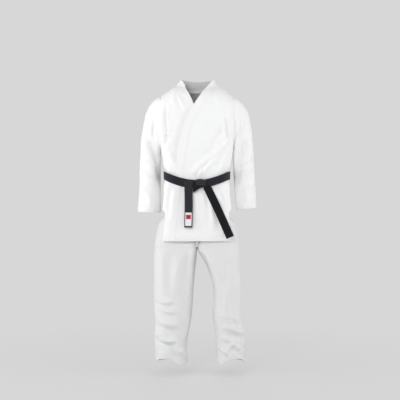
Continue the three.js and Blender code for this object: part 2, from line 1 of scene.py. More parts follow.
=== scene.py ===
# %% [markdown]
# # A crossed cotton jacket, loose trousers and a tied belt
# The uniform keeps the shape that it takes on a standing wearer. The frame holds where every part is, and
# this lesson gives each part its cloth: its folds, seams, stitches and weave. All shapes are surfaces
# worked out with numpy, in millimetres, and they become metres when a mesh is made.

# %% Frame
import math
import bpy
import numpy as np
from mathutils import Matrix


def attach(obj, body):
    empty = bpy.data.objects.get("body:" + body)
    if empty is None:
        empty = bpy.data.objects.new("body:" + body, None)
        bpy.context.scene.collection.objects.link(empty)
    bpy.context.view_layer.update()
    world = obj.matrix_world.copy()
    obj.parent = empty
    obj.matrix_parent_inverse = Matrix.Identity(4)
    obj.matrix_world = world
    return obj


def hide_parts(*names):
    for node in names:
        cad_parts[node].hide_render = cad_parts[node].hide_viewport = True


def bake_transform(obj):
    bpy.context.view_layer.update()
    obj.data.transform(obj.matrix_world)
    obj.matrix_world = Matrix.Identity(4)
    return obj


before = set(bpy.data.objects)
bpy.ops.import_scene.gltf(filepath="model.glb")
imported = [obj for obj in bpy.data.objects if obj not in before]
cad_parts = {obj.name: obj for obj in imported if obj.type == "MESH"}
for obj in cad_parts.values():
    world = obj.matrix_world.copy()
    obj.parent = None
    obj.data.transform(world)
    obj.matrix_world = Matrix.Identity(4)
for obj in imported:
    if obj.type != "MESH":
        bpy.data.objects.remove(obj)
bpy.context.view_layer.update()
MM = 0.001

# %% [markdown]
# ## Camera, floor and light
# A catalogue studio is almost without shadow: a pale sweep of paper, light from all sides and one large
# soft lamp above the camera. A long lens far away keeps the uniform free of perspective. The floor fades
# to the colour of the air behind it with distance, so no horizon shows.

# %% Camera
CAMERA_DISTANCE = 4.9
CAMERA_PLACE = (0.0156, -CAMERA_DISTANCE, -0.582)
FLOOR_Z = -1.482
BACKDROP = (0.68, 0.68, 0.6834, 1)

camera_data = bpy.data.cameras.new("camera")
camera_data.sensor_width = 36
camera_data.lens = 84.8
camera = bpy.data.objects.new("camera", camera_data)
camera.location = CAMERA_PLACE
camera.rotation_euler = (math.pi / 2, 0, 0)
bpy.context.scene.collection.objects.link(camera)
bpy.context.scene.camera = camera
bpy.context.scene.view_settings.view_transform = "Standard"
print("camera at", CAMERA_PLACE)


# %% Light
def soft_lamp(name, place, aim, size, power):
    """A square area light at place whose face looks at the point aim."""
    lamp = bpy.data.lights.new(name, "AREA")
    lamp.shape, lamp.size, lamp.energy = "SQUARE", size, power
    thing = bpy.data.objects.new(name, lamp)
    thing.location = place
    direction = np.array(aim) - np.array(place)
    flat = math.hypot(direction[0], direction[1])
    thing.rotation_euler = (
        math.atan2(flat, -direction[2]), 0, math.atan2(direction[1], direction[0]) - math.pi / 2)
    bpy.context.scene.collection.objects.link(thing)


CENTRE = (0, 0, -0.7)
LAMPS = [
    ("key", (-1.2, -3.3, 0.8), (0, 0, -0.6), 1.3, 44),
    ("top", (0.4, -0.6, 3.0), (0, 0, -0.5), 2.0, 15),
    ("left side", (-3.0, -0.9, -0.2), CENTRE, 2.4, 40),
    ("right side", (3.0, -0.9, -0.2), CENTRE, 2.4, 40),
    ("behind", (0.3, 3.6, 1.4), CENTRE, 2.2, 34),
]
for lamp in LAMPS:
    soft_lamp(*lamp)
print("lamps", len(LAMPS))

# %% Air
world = bpy.data.worlds.new("air")
world.use_nodes = True
air = world.node_tree
air_out = air.nodes["World Output"]
air_light = air.nodes["Background"]
air_light.inputs["Color"].default_value = (0.97, 0.98, 1, 1)
air_light.inputs["Strength"].default_value = 0.34
air_seen = air.nodes.new("ShaderNodeBackground")
air_seen.inputs["Color"].default_value = BACKDROP
air_path = air.nodes.new("ShaderNodeLightPath")
air_mix = air.nodes.new("ShaderNodeMixShader")
air.links.new(air_path.outputs["Is Camera Ray"], air_mix.inputs["Fac"])
air.links.new(air_light.outputs["Background"], air_mix.inputs[1])
air.links.new(air_seen.outputs["Background"], air_mix.inputs[2])
air.links.new(air_mix.outputs["Shader"], air_out.inputs["Surface"])
bpy.context.scene.world = world

# %% Floor
FLOOR_HALF, FADE_START, FADE_END, FADE_NEAR = 14, 0.9, 2.6, 0.6
floor_mesh = bpy.data.meshes.new("floor")
floor_mesh.from_pydata(
    [(x * FLOOR_HALF, y * FLOOR_HALF, FLOOR_Z) for x, y in ((-1, -1), (1, -1), (1, 1), (-1, 1))],
    [], [(0, 1, 2, 3)])
floor = bpy.data.objects.new("floor", floor_mesh)
bpy.context.scene.collection.objects.link(floor)

# %% Floor finish
floor_look = bpy.data.materials.new("paper sweep")
floor_look.use_nodes = True
tree = floor_look.node_tree
paper = tree.nodes["Principled BSDF"]
paper.inputs["Base Color"].default_value = (0.72, 0.72, 0.725, 1)
paper.inputs["Roughness"].default_value = 1
paper.inputs["Specular IOR Level"].default_value = 0
glow = tree.nodes.new("ShaderNodeEmission")
glow.inputs["Color"].default_value = BACKDROP
place = tree.nodes.new("ShaderNodeTexCoord")
far = tree.nodes.new("ShaderNodeVectorMath")
far.operation = "LENGTH"
fade = tree.nodes.new("ShaderNodeMapRange")
fade.interpolation_type = "SMOOTHSTEP"
fade.inputs["From Min"].default_value = FADE_START
fade.inputs["From Max"].default_value = FADE_END
fade.inputs["To Min"].default_value = FADE_NEAR
blend_in = tree.nodes.new("ShaderNodeMixShader")
tree.links.new(place.outputs["Object"], far.inputs[0])
tree.links.new(far.outputs["Value"], fade.inputs["Value"])
tree.links.new(fade.outputs["Result"], blend_in.inputs["Fac"])
tree.links.new(paper.outputs["BSDF"], blend_in.inputs[1])
tree.links.new(glow.outputs["Emission"], blend_in.inputs[2])
tree.links.new(blend_in.outputs["Shader"], tree.nodes["Material Output"].inputs["Surface"])
floor_mesh.materials.append(floor_look)
print("floor at", FLOOR_Z)

# %% [markdown]
# ## Finishes
# Canvas, twill and belt satin differ in how their threads cross, so one weave group serves them all, with
# the thread count and the slant of the weave as inputs. It reads the cloth's own UV map, which is laid
# out in metres, so threads follow the cloth round every fold. A second group gives the slow unevenness of
# washed cotton and a darker colour where the attribute that each cloth carries is high: wear along its
# edges, and painted shade in the hollows of the jacket hem's stitch rows.


# %% Node group helpers
def new_group(name, inputs, outputs):
    """An empty shader node group with float or colour sockets, and its two end nodes."""
    group = bpy.data.node_groups.new(name, "ShaderNodeTree")
    for label, value in inputs.items():
        kind = "NodeSocketColor" if isinstance(value, tuple) else "NodeSocketFloat"
        socket = group.interface.new_socket(name=label, in_out="INPUT", socket_type=kind)
        socket.default_value = value
    for label, kind in outputs.items():
        group.interface.new_socket(name=label, in_out="OUTPUT", socket_type=kind)
    return group, group.nodes.new("NodeGroupInput"), group.nodes.new("NodeGroupOutput")


def sum_node(tree, operation, *values):
    """A Math node; each value is a number or another node's output."""
    node = tree.nodes.new("ShaderNodeMath")
    node.operation = operation
    for socket, value in zip(node.inputs, values):
        if isinstance(value, (int, float)):
            socket.default_value = value
        else:
            tree.links.new(value, socket)
    return node.outputs[0]


# %% Weave group
def weave_group():
    """Thread relief: sine across times sine along is a plain weave; the sine of their sum is a twill."""
    group, given, made = new_group(
        "weave", {"Threads": 900.0, "Twill": 0.0}, {"Height": "NodeSocketFloat"})
    chart = group.nodes.new("ShaderNodeUVMap")
    chart.uv_map = "cloth"
    split = group.nodes.new("ShaderNodeSeparateXYZ")
    group.links.new(chart.outputs["UV"], split.inputs[0])
    turns = sum_node(group, "MULTIPLY", given.outputs["Threads"], 2 * math.pi)
    across = sum_node(group, "MULTIPLY", split.outputs["X"], turns)
    along = sum_node(group, "MULTIPLY", split.outputs["Y"], turns)
    plain = sum_node(
        group, "MULTIPLY", sum_node(group, "SINE", across), sum_node(group, "SINE", along))
    slant = sum_node(group, "SINE", sum_node(group, "ADD", across, along))
    twill_part = sum_node(group, "MULTIPLY", slant, given.outputs["Twill"])
    plain_share = sum_node(group, "SUBTRACT", 1.0, given.outputs["Twill"])
    plain_part = sum_node(group, "MULTIPLY", plain, plain_share)
    both = sum_node(group, "ADD", twill_part, plain_part)
    height = sum_node(group, "MULTIPLY_ADD", both, 0.5, 0.5)
    group.links.new(height, made.inputs["Height"])
    return group


# %% Wash group
def colour_mix(tree, share, low):
    """A colour mix node: the low colour where the share is 0, and its input B where the share is 1."""
    node = tree.nodes.new("ShaderNodeMix")
    node.data_type = "RGBA"
    tree.links.new(share, node.inputs["Factor"])
    tree.links.new(low, node.inputs["A"])
    return node


def wash_group():
    """Cloth colour: slow noise moves it a little, fine noise flecks it, and the attribute's wear and
    painted shade darken it.
    """
    group, given, made = new_group(
        "wash",
        {"Colour": (0.9, 0.9, 0.9, 1), "Rub and shade": (0.8, 0.8, 0.8, 1), "Uneven": 0.03},
        {"Colour": "NodeSocketColor", "Fleck": "NodeSocketFloat"})
    spot = group.nodes.new("ShaderNodeTexCoord")
    slow = group.nodes.new("ShaderNodeTexNoise")
    slow.inputs["Scale"].default_value = 9
    slow.inputs["Detail"].default_value = 3
    fine = group.nodes.new("ShaderNodeTexNoise")
    fine.inputs["Scale"].default_value = 700
    group.links.new(spot.outputs["Object"], slow.inputs["Vector"])
    group.links.new(spot.outputs["Object"], fine.inputs["Vector"])
    # The attribute holds wear at cloth edges and painted shade in the jacket hem's stitch rows.
    edge = group.nodes.new("ShaderNodeAttribute")
    edge.attribute_name = "wear_and_shade"
    rub_and_shade_share = sum_node(group, "MULTIPLY", edge.outputs["Fac"], slow.outputs["Fac"])
    shade = colour_mix(group, rub_and_shade_share, given.outputs["Colour"])
    group.links.new(given.outputs["Rub and shade"], shade.inputs["B"])
    drift = sum_node(group, "ADD", slow.outputs["Fac"], fine.outputs["Fac"])
    drift = sum_node(group, "SUBTRACT", drift, 1.0)
    drift = sum_node(group, "MULTIPLY_ADD", drift, given.outputs["Uneven"], 1.0)
    scale = group.nodes.new("ShaderNodeVectorMath")
    scale.operation = "SCALE"
    group.links.new(shade.outputs["Result"], scale.inputs[0])
    group.links.new(drift, scale.inputs["Scale"])
    group.links.new(scale.outputs[0], made.inputs["Colour"])
    group.links.new(fine.outputs["Fac"], made.inputs["Fleck"])
    return group


WEAVE = weave_group()
WASH = wash_group()


# %% Cloth material
def cloth_look(name, colour, rub_and_shade, threads, twill, relief, sheen, rough, uneven=0.03):
    """A woven finish: colour from the wash group, thread relief from the weave group into a Bump node."""
    look = bpy.data.materials.new(name)
    look.use_nodes = True
    tree = look.node_tree
    skin = tree.nodes["Principled BSDF"]
    wash = tree.nodes.new("ShaderNodeGroup")
    wash.node_tree = WASH
    wash.inputs["Colour"].default_value = (*colour, 1)
    wash.inputs["Rub and shade"].default_value = (*rub_and_shade, 1)
    wash.inputs["Uneven"].default_value = uneven
    weave = tree.nodes.new("ShaderNodeGroup")
    weave.node_tree = WEAVE
    weave.inputs["Threads"].default_value = threads
    weave.inputs["Twill"].default_value = twill
    bump = tree.nodes.new("ShaderNodeBump")
    bump.inputs["Strength"].default_value = relief
    bump.inputs["Distance"].default_value = 0.0004
    tree.links.new(weave.outputs["Height"], bump.inputs["Height"])
    tree.links.new(bump.outputs["Normal"], skin.inputs["Normal"])
    tree.links.new(wash.outputs["Colour"], skin.inputs["Base Color"])
    dull = sum_node(tree, "MULTIPLY_ADD", wash.outputs["Fleck"], 0.16, rough)
    tree.links.new(dull, skin.inputs["Roughness"])
    skin.inputs["Specular IOR Level"].default_value = 0.2
    skin.inputs["Sheen Weight"].default_value = sheen
    skin.inputs["Sheen Roughness"].default_value = 0.5
    return look


# The second, greyer white is mixed in by the attribute: wear at edges, and painted shade in the jacket
# hem's stitch rows.
WHITE, RUB_AND_SHADE_GREY = (0.955, 0.955, 0.955), (0.86, 0.86, 0.87)
CANVAS = cloth_look("white canvas", WHITE, RUB_AND_SHADE_GREY, 620, 0, 0.5, 0.08, 0.78)
CANVAS_BAND = cloth_look("quilted band", WHITE, RUB_AND_SHADE_GREY, 700, 0, 0.4, 0.08, 0.74)
# The trouser cotton is set greyer than the jacket's white: painted shade for the dimmer light on the
# trousers.
TWILL = cloth_look("white trouser cotton", (0.83, 0.83, 0.833), (0.78, 0.78, 0.80), 800, 1, 0.4, 0.05, 0.82)
# One black cloth in three colours: the lighter copy is painted highlight and the darker copy painted shade,
# for belt parts that catch more light and parts that catch less.
SATIN, SATIN_PAINTED_HIGHLIGHT, SATIN_PAINTED_SHADE = (
    cloth_look(name, colour, (0.06, 0.06, 0.07), 1100, 0, 0.6, sheen, 0.5, 0.5)
    for name, colour, sheen in (
        ("black belt cotton", (0.012, 0.012, 0.020), 0.16),
        ("black belt cotton with painted highlight", (0.019, 0.020, 0.024), 0.2),
        ("black belt cotton with painted shade", (0.003, 0.003, 0.005), 0.02)))
THREAD = cloth_look("white thread", (0.9, 0.9, 0.9), (0.9, 0.9, 0.9), 2500, 1, 0.3, 0.1, 0.6)
RUBBER_TAPE = cloth_look("ribbed elastic", (0.8, 0.8, 0.79), (0.7, 0.7, 0.69), 500, 0.6, 0.8, 0.0, 0.6)
print("finishes", len(bpy.data.materials))

# %% [markdown]
# ## From a grid of points to a piece of cloth
# A sewn panel is a thin closed wall: an outer face, an inner face one cloth's thickness below it and a
# rounded rim where it is folded or cut. Solidify could make the inner face, but doing it on the grid
# gives the rim its round edge, keeps faces in order and leaves a UV map in real metres.


# %% Numbers
def smooth(value, low, high):
    """0 up to low, 1 from high on, and the cubic 3t^2 - 2t^3 between them."""
    t = np.clip((value - low) / (high - low), 0, 1)
    return t * t * (3 - 2 * t)


def mix(a, b, t):
    """a at t = 0, b at t = 1, in a straight line."""
    return a + (b - a) * t


def through(stops, position, column=1):
    """Cubic Hermite curve through stops that run downwards; each slope is that of its neighbours' line."""
    table = np.array([(stop[0], stop[column]) for stop in stops], float)
    at, value = table[:, 0], table[:, 1]
    last = len(at) - 1
    i = np.clip(np.searchsorted(-at, -np.asarray(position, float), side="right") - 1, 0, last - 1)
    span = at[i + 1] - at[i]
    t = np.clip((position - at[i]) / span, 0, 1)
    low, high = np.maximum(i - 1, 0), np.minimum(i + 2, last)
    before = (value[i + 1] - value[low]) / (at[i + 1] - at[low]) * span
    after = (value[high] - value[i]) / (at[high] - at[i]) * span
    t2, t3 = t * t, t * t * t
    return (value[i] * (2 * t3 - 3 * t2 + 1) + before * (t3 - 2 * t2 + t)
            + value[i + 1] * (3 * t2 - 2 * t3) + after * (t3 - t2))


def curve_through(points, share):
    """Centripetal Catmull-Rom curve: share runs evenly over the spans, each one cubic with root-of-chord
    knots."""
    p = np.array(points, float)
    p = np.vstack([2 * p[0] - p[1], p, 2 * p[-1] - p[-2]])
    spans = len(points) - 1
    place = np.clip(np.asarray(share, float), 0, 1) * spans
    i = np.minimum(place.astype(int), spans - 1)
    t = (place - i)[..., None]
    a, b, c, d = p[i], p[i + 1], p[i + 2], p[i + 3]
    gap = [np.maximum(np.linalg.norm(n - m, axis=-1, keepdims=True) ** 0.5, 1e-4)
           for m, n in ((a, b), (b, c), (c, d))]
    start = ((b - a) / gap[0] - (c - a) / (gap[0] + gap[1]) + (c - b) / gap[1]) * gap[1]
    end = ((c - b) / gap[1] - (d - b) / (gap[1] + gap[2]) + (d - c) / gap[2]) * gap[1]
    return (b + start * t + (-3 * b + 3 * c - 2 * start - end) * t ** 2
            + (2 * b - 2 * c + start + end) * t ** 3)


# %% Grids
def grid_normals(points, looped=False):
    """Unit normals of a grid: the cross product of its steps along columns and along rows."""
    if looped:
        along_u = np.roll(points, -1, axis=1) - np.roll(points, 1, axis=1)
    else:
        along_u = np.gradient(points, axis=1)
    along_v = np.gradient(points, axis=0)
    normal = np.cross(along_u, along_v)
    return normal / np.maximum(np.linalg.norm(normal, axis=-1, keepdims=True), 1e-9)


def outward_normals(points, looped=False):
    """Grid normals turned to point away from the piece's middle line, and whether they had to be turned."""
    normal = grid_normals(points, looped)
    middle = points.mean(axis=1, keepdims=True) if looped else points * (0, 0, 1)
    turned = np.sum(normal * (points - middle)) < 0
    return (-normal if turned else normal), turned


def grid_area(points, looped=False):
    """Area of a grid's outer face, from the cross product of each quad's diagonals."""
    p = np.concatenate([points, points[:, :1]], axis=1) if looped else points
    cross = np.cross(p[1:, 1:] - p[:-1, :-1], p[1:, :-1] - p[:-1, 1:])
    return float(np.linalg.norm(cross, axis=-1).sum() / 2)


GRIDS = {}
FLAT = {}


# %% Mesh maker
def mesh_from(name, points, quads, uv=None, wear_and_shade=None, material=None):
    """Puts points in millimetres and their quads into a new mesh in metres, smooth shaded."""
    mesh = bpy.data.meshes.new(name)
    mesh.vertices.add(len(points))
    mesh.vertices.foreach_set("co", (points * MM).astype(np.float32).ravel())
    mesh.loops.add(quads.size)
    mesh.loops.foreach_set("vertex_index", quads.astype(np.int32).ravel())
    mesh.polygons.add(len(quads))
    mesh.polygons.foreach_set("loop_start", np.arange(0, quads.size, 4, dtype=np.int32))
    mesh.polygons.foreach_set("use_smooth", np.ones(len(quads), bool))
    layer = mesh.uv_layers.new(name="cloth")
    if uv is not None:
        layer.data.foreach_set("uv", (uv * MM).astype(np.float32).ravel())
    if wear_and_shade is not None:
        attribute = mesh.attributes.new("wear_and_shade", "FLOAT", "POINT")
        attribute.data.foreach_set("value", wear_and_shade.astype(np.float32))
    mesh.update(calc_edges=True)
    mesh.materials.append(material)
    thing = bpy.data.objects.new(name, mesh)
    bpy.context.scene.collection.objects.link(thing)
    return thing


# %% Rims
def rim_lines(spot, looped):
    """The open edges of a grid of numbered places: two rings for a tube, one run round for a sheet."""
    top, bottom = spot[0], spot[-1][::-1]
    if looped:
        return [top, bottom]
    return [np.concatenate([top, spot[1:, -1], bottom[1:], spot[::-1, 0][1:]])]


def rim_middle(line, wide, outer, inner, reach):
    """Middle line of a rim: halfway through the wall, pushed by reach away from the inside of the grid."""
    rows, columns = outer.shape[:2]
    r, k = np.divmod(line[:-1], wide)
    k = k % columns
    near_k = k if wide > columns else np.clip(k, 1, columns - 2)
    away = outer[r, k] - outer[np.clip(r, 1, rows - 2), near_k]
    away /= np.maximum(np.linalg.norm(away, axis=-1, keepdims=True), 1e-9)
    return (outer[r, k] + inner[r, k]) / 2 + away * reach


# %% Faces and flat map of a wall
def wall_faces(rows, columns, wide, looped):
    """Faces of both sides and of the rims, as numbers of points and as places on the flat map."""
    count = rows * columns
    vertex = (np.arange(rows)[:, None] * columns + np.arange(wide)[None, :] % columns).ravel()
    spot = np.arange(rows * wide).reshape(rows, wide)
    a, b, c, d = spot[:-1, :-1], spot[:-1, 1:], spot[1:, 1:], spot[1:, :-1]
    face = np.stack([a, b, c, d], -1).reshape(-1, 4)
    back = face[:, ::-1]
    quads, charts, lines = [vertex[face], vertex[back] + count], [face, back], rim_lines(spot, looped)
    first = 2 * count
    for line in lines:
        steps, edge = len(line) - 1, vertex[line]
        mid = first + np.arange(steps + 1) % steps
        quads.append(np.stack([edge[1:], edge[:-1], mid[:-1], mid[1:]], -1))
        quads.append(np.stack([mid[1:], mid[:-1], edge[:-1] + count, edge[1:] + count], -1))
        charts += [np.stack([line[1:], line[:-1], line[:-1], line[1:]], -1)] * 2
        first += steps
    return np.concatenate(quads), np.concatenate(charts), lines


def flat_map(outer, looped):
    """The cloth laid flat: mean run along the rows and down the columns, and the cut's width and length."""
    span = np.concatenate([outer, outer[:, :1]], axis=1) if looped else outer
    across = np.linalg.norm(np.diff(span, axis=1), axis=-1)
    along = np.linalg.norm(np.diff(outer, axis=0), axis=-1)
    u = np.concatenate([[0], np.cumsum(across.mean(axis=0))])
    v = np.concatenate([[0], np.cumsum(along.mean(axis=1))])
    chart = np.stack(np.broadcast_arrays(u[None, :], v[:, None]), -1).reshape(-1, 2)
    return chart, float(across.sum(axis=1).max()), float(along.sum(axis=0).max())


# %% Cloth wall
def wall(name, outer, thick, material, looped=False, wear_and_shade=None, rim=0.45):
    """A closed wall: outer is a grid of points, the inner face lies thick below it along the normals, and
    a rim with one middle line, pushed out by rim times the thickness, joins them at every open edge."""
    rows, columns = outer.shape[:2]
    wide = columns + 1 if looped else columns
    normal, turned = outward_normals(outer, looped)
    inner = outer - normal * thick
    quads, charts, lines = wall_faces(rows, columns, wide, looped)
    if turned:
        quads, charts = quads[:, ::-1], charts[:, ::-1]
    middles = [rim_middle(line, wide, outer, inner, thick * rim) for line in lines]
    points = np.concatenate([outer.reshape(-1, 3), inner.reshape(-1, 3), *middles])
    rub_and_shade = np.zeros(len(points))
    if wear_and_shade is not None:
        rub_and_shade[:2 * rows * columns] = np.tile(np.broadcast_to(wear_and_shade, (rows, columns)).ravel(), 2)
    chart, width, length = flat_map(outer, looped)
    GRIDS[name] = (outer, normal)
    FLAT[name] = (width, length, grid_area(outer, looped))
    print(f"{name}: {2 * len(quads)} triangles, flat {width:.0f} x {length:.0f} mm")
    return mesh_from(name, points, quads, chart[charts], rub_and_shade, material)


# %% Hanging a piece
def hang(piece, body, nodes, bends=None):
    """Hangs a piece on a body in place of CAD nodes, which it hides; it reads the piece's unfolded size
    from FLAT.
    With bends given, the piece is only baked where it stands and not attached to the body; what bends holds
    is not used."""
    if bends:
        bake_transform(piece)
    else:
        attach(piece, body)
    if nodes:
        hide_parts(*nodes)
    width, length, area = FLAT[piece.name]
    area = min(area, width * length) * MM ** 2
    return piece


# %% [markdown]
# ## Folds
# Cotton canvas is stiff: it holds a few long soft folds where it hangs from the shoulder, is pulled by
# the belt or rests on the foot. Cloth simulation finds such folds by itself but never the same ones as on
# a given garment, so here each fold is drawn: a ridge along a path, with a hollow on its lower side. Slow
# random waves and sharp-bottomed crumples, always from the same seeds, fill the cloth between them.


# %% Fold tools
def fold(x, z, path, width, height, hollow=0.45):
    """A ridge along a path: height times a bell of the distance from it over width, fading to nothing at
    both ends, less a wider bell beside it on the right-hand side of the path, hollow times as deep."""
    share = np.linspace(0, 1, 13)
    line = curve_through([(a, 0, b) for a, b in path], share)[:, [0, 2]]
    start, step = line[:-1], np.diff(line, axis=0)
    offset = np.stack([x, z], -1)[..., None, :] - start
    t = np.clip((offset * step).sum(-1) / (step ** 2).sum(-1), 0, 1)
    gap = offset - t[..., None] * step
    distance = np.linalg.norm(gap, axis=-1)
    nearest = distance.argmin(-1)[..., None]
    away = np.take_along_axis(distance, nearest, -1)[..., 0]
    turn = gap[..., 0] * step[:, 1] - gap[..., 1] * step[:, 0]
    side = np.sign(np.take_along_axis(turn, nearest, -1)[..., 0])
    run = (nearest[..., 0] + np.take_along_axis(t, nearest, -1)[..., 0]) / len(step)
    fade = np.sin(np.pi * np.clip(run, 0.001, 0.999)) ** 0.7
    signed = side * away / width
    return height * fade * (np.exp(-signed ** 2) - hollow * np.exp(-((signed - 1.7) / 1.2) ** 2))


MIDDLE_Z, PATTERN_SCALE = -582, 1.024


def folds(x, z, table, strength=1.0):
    """The sum of the folds in a table of (path, width, height). The tables are drawn on a slightly larger
    pattern than the cloth, centred on the middle height."""
    x, z = x * PATTERN_SCALE, MIDDLE_Z + (z - MIDDLE_Z) * PATTERN_SCALE
    return strength * sum(fold(x, z, path, width, height) for path, width, height in table)


def waves(points, length, height, seed, stretch=(1, 1, 1)):
    """Slow unevenness: a third of the sum of nine sine waves of about one length, in directions drawn from
    the seed."""
    dice = np.random.default_rng(seed)
    total = 0
    for _ in range(9):
        direction = dice.normal(size=3)
        direction *= np.array(stretch) / np.linalg.norm(direction)
        turn = 2 * np.pi / (length * dice.uniform(0.7, 1.5))
        total = total + np.sin(points @ direction * turn + dice.uniform(0, 2 * np.pi))
    return height * total / 3


def crumple(points, length, height, seed, stretch=(1, 1, 1)):
    """Sharp-bottomed creases: the cube of one less the size of a slow wave, kept at or above nothing, in
    the places that a second wave picks."""
    crease = 1 - np.abs(waves(points, length, 1, seed, stretch))
    where = smooth(waves(points, length * 2.3, 1, seed + 50), -0.1, 0.9)
    return -height * np.clip(crease, 0, 1) ** 3 * where


def grooves(distance, rows, width=1.1, depth=0.6):
    """Stitch rows: a narrow bell-shaped groove at each of the given distances."""
    return -depth * sum(np.exp(-((distance - row) / width) ** 2) for row in rows)


# %% [markdown]
# ## The jacket's body
# The jacket is a cross-over coat: two fronts that overlap, a back, and a band that runs up one front
# edge, round the neck and down the other. Its section is a rounded rectangle that closes into the
# shoulder line. Front, back, band and belt all read the same section, so they fit each other at every
# height.

# %% Jacket sizes
CLOTH = 1.6
SHOULDER_HALF, SHOULDER_TOP, SHOULDER_DROP, SHOULDER_ROUND = 192, 8, 55, 110
NECK_HALF, NECK_EDGE, NECK_BACK_DIP = 100, 112, 25
ARMPIT_Z, ARMHOLE_DEPTH, ARMHOLE_LIMIT = -312, 94, 0.97
CHEST_HALF, CHEST_DEPTH = 186, 118
WAIST_HALF, WAIST_DEPTH = 161, 116
HEM_HALF, HEM_DEPTH = 190, 128
BODY_CORNER, SHOULDER_CORNER = 52, 24
JACKET_HEM_Z, VENT_TOP_Z, VENT_RUN = -790, -590, 60
LAPEL_WIDTH, COLLAR_START_Z, UNDER = 38, -8, 5
BELT_WIDTH, BELT_THICK = 40, 3
BELT_SIDE_Z, BELT_FRONT_DIP, BELT_BACK_RISE = -456, 44, 10
FRONT, BACK = -1, 1

BODY_STOPS = [
    (0, SHOULDER_HALF, CHEST_DEPTH),
    (ARMPIT_Z, CHEST_HALF, CHEST_DEPTH),
    (BELT_SIDE_Z + BELT_WIDTH, WAIST_HALF + 3, WAIST_DEPTH),
    (BELT_SIDE_Z, WAIST_HALF, WAIST_DEPTH),
    (BELT_SIDE_Z - BELT_FRONT_DIP, WAIST_HALF + 3, WAIST_DEPTH),
    (BELT_SIDE_Z - BELT_FRONT_DIP - BELT_WIDTH, mix(WAIST_HALF, HEM_HALF, 0.3), WAIST_DEPTH),
    (JACKET_HEM_Z, HEM_HALF, HEM_DEPTH),
]
EDGES = {
    1: [(45, 82), (-94, -14), (-200, -66), (-480, -118), (JACKET_HEM_Z, -150)],
    -1: [(45, 84), (-94, 14), (-200, -38), (-480, -85), (JACKET_HEM_Z, -115)],
}
SIDES = {"left": 1, "right": -1}


# %% Body section
def section(q, face, half_width, half_depth, corner):
    """Rounded rectangle, unrolled: q is 0 at the middle, 1 and 2 at the corner's ends, 3 at the side."""
    a = np.abs(q)
    turn = np.pi / 2 * np.clip(a - 1, 0, 1)
    x = np.minimum(a, 1) * (half_width - corner) + corner * np.sin(turn)
    y = (half_depth - corner) * np.minimum(1, 3 - a) + corner * np.cos(turn)
    return np.sign(q) * x, face * y


def section_q(x, z):
    """The section position of a point at distance x from the middle, on the flat or on the corner."""
    corner = body_corner(z)
    a, flat = np.abs(x), through(BODY_STOPS, z, 1) - corner
    on_corner = 1 + np.arcsin(np.clip((a - flat) / corner, 0, 1)) / (np.pi / 2)
    return np.sign(x) * np.where(a <= flat, a / flat, on_corner)


def body_corner(z):
    """Corner radius of the section: tight at the shoulder, so the front runs on into the sleeve."""
    return mix(BODY_CORNER, SHOULDER_CORNER, smooth(z, ARMPIT_Z - 40, ARMPIT_Z + 130))


def body_section(q, face, z, inset=0.0, thin=1.0):
    """A point of the body's section at height z, inset below its face and thinned front to back."""
    q, z, inset, thin = np.broadcast_arrays(q, z, inset, thin)
    width, depth = through(BODY_STOPS, z, 1) - inset, through(BODY_STOPS, z, 2) - inset
    x, y = section(q, face, width, depth, body_corner(z) - inset)
    return np.stack([x, y * thin, z + 0 * x], -1)


def shoulder_line(x):
    """Height of the shoulder line: level near the neck, then falling with a power of the distance."""
    out = np.maximum(0, (np.abs(x) - NECK_HALF) / (SHOULDER_HALF - NECK_HALF))
    return SHOULDER_TOP - SHOULDER_DROP * np.minimum(out, 1.05) ** 1.25


def round_over(drop):
    """Share of the full depth reached at a drop below the shoulder line: a quarter circle."""
    return np.sqrt(1 - (1 - np.clip(drop / SHOULDER_ROUND, 0, 1)) ** 2)


def row_height(row):
    """Height of a row: 0 is the shoulder line, 1 the armpit and 2 the hem."""
    return np.where(row < 1, mix(SHOULDER_TOP, ARMPIT_Z, row), mix(ARMPIT_Z, JACKET_HEM_Z, row - 1))


def body_row(q, face, row, inset=0.0, top_drop=None):
    """A point of the body at section position q in a row; top_drop lowers the first row, as at the neck."""
    row = np.broadcast_to(row, np.shape(q))
    x = body_section(q, face, row_height(row))[..., 0]
    start = shoulder_line(x) - inset
    first = start - (top_drop(x) if top_drop else 0)
    upper_z = mix(first, ARMPIT_Z, np.minimum(row, 1))
    z = np.where(row < 1, upper_z, row_height(row))
    thin = np.where(row < 1, round_over(start - upper_z), 1.0)
    return body_section(q, face, z, inset, thin)


def body_at(x, z, inset=0.0, face=FRONT):
    """A point of the body at distance x from the middle and height z."""
    x, z, inset = np.broadcast_arrays(np.asarray(x, float), z, inset)
    top = shoulder_line(x)
    fall = (top - z) / (top - ARMPIT_Z)
    q = section_q(x, z)
    height = np.where(fall >= 1, z, mix(top - inset, ARMPIT_Z, np.clip(fall, 0, 1)))
    thin = np.where(fall >= 1, 1.0, round_over(top - inset - height))
    return body_section(q, face, height, inset, thin)


def side_edge_q(row):
    """Section position of a panel's outer edge: round the armhole, down the side seam, then the vent."""
    row = np.asarray(row, float)
    vent = mix(1.5, 3, smooth(row_height(row), VENT_TOP_Z - VENT_RUN, VENT_TOP_Z))
    drop = np.minimum(row, 1) * (SHOULDER_TOP - SHOULDER_DROP - ARMPIT_Z)
    flat = (CHEST_DEPTH - body_corner(row_height(row))) * round_over(drop)
    opening = ARMHOLE_DEPTH * np.sqrt(np.clip(1 - (2 * row - 1) ** 2, 0, 1))
    armhole = 3 - np.minimum(opening / np.maximum(flat, 1), ARMHOLE_LIMIT)
    return np.where(row >= 1, vent, armhole)


# %% Rows shared by the panels
HEM_STEP = 1.3


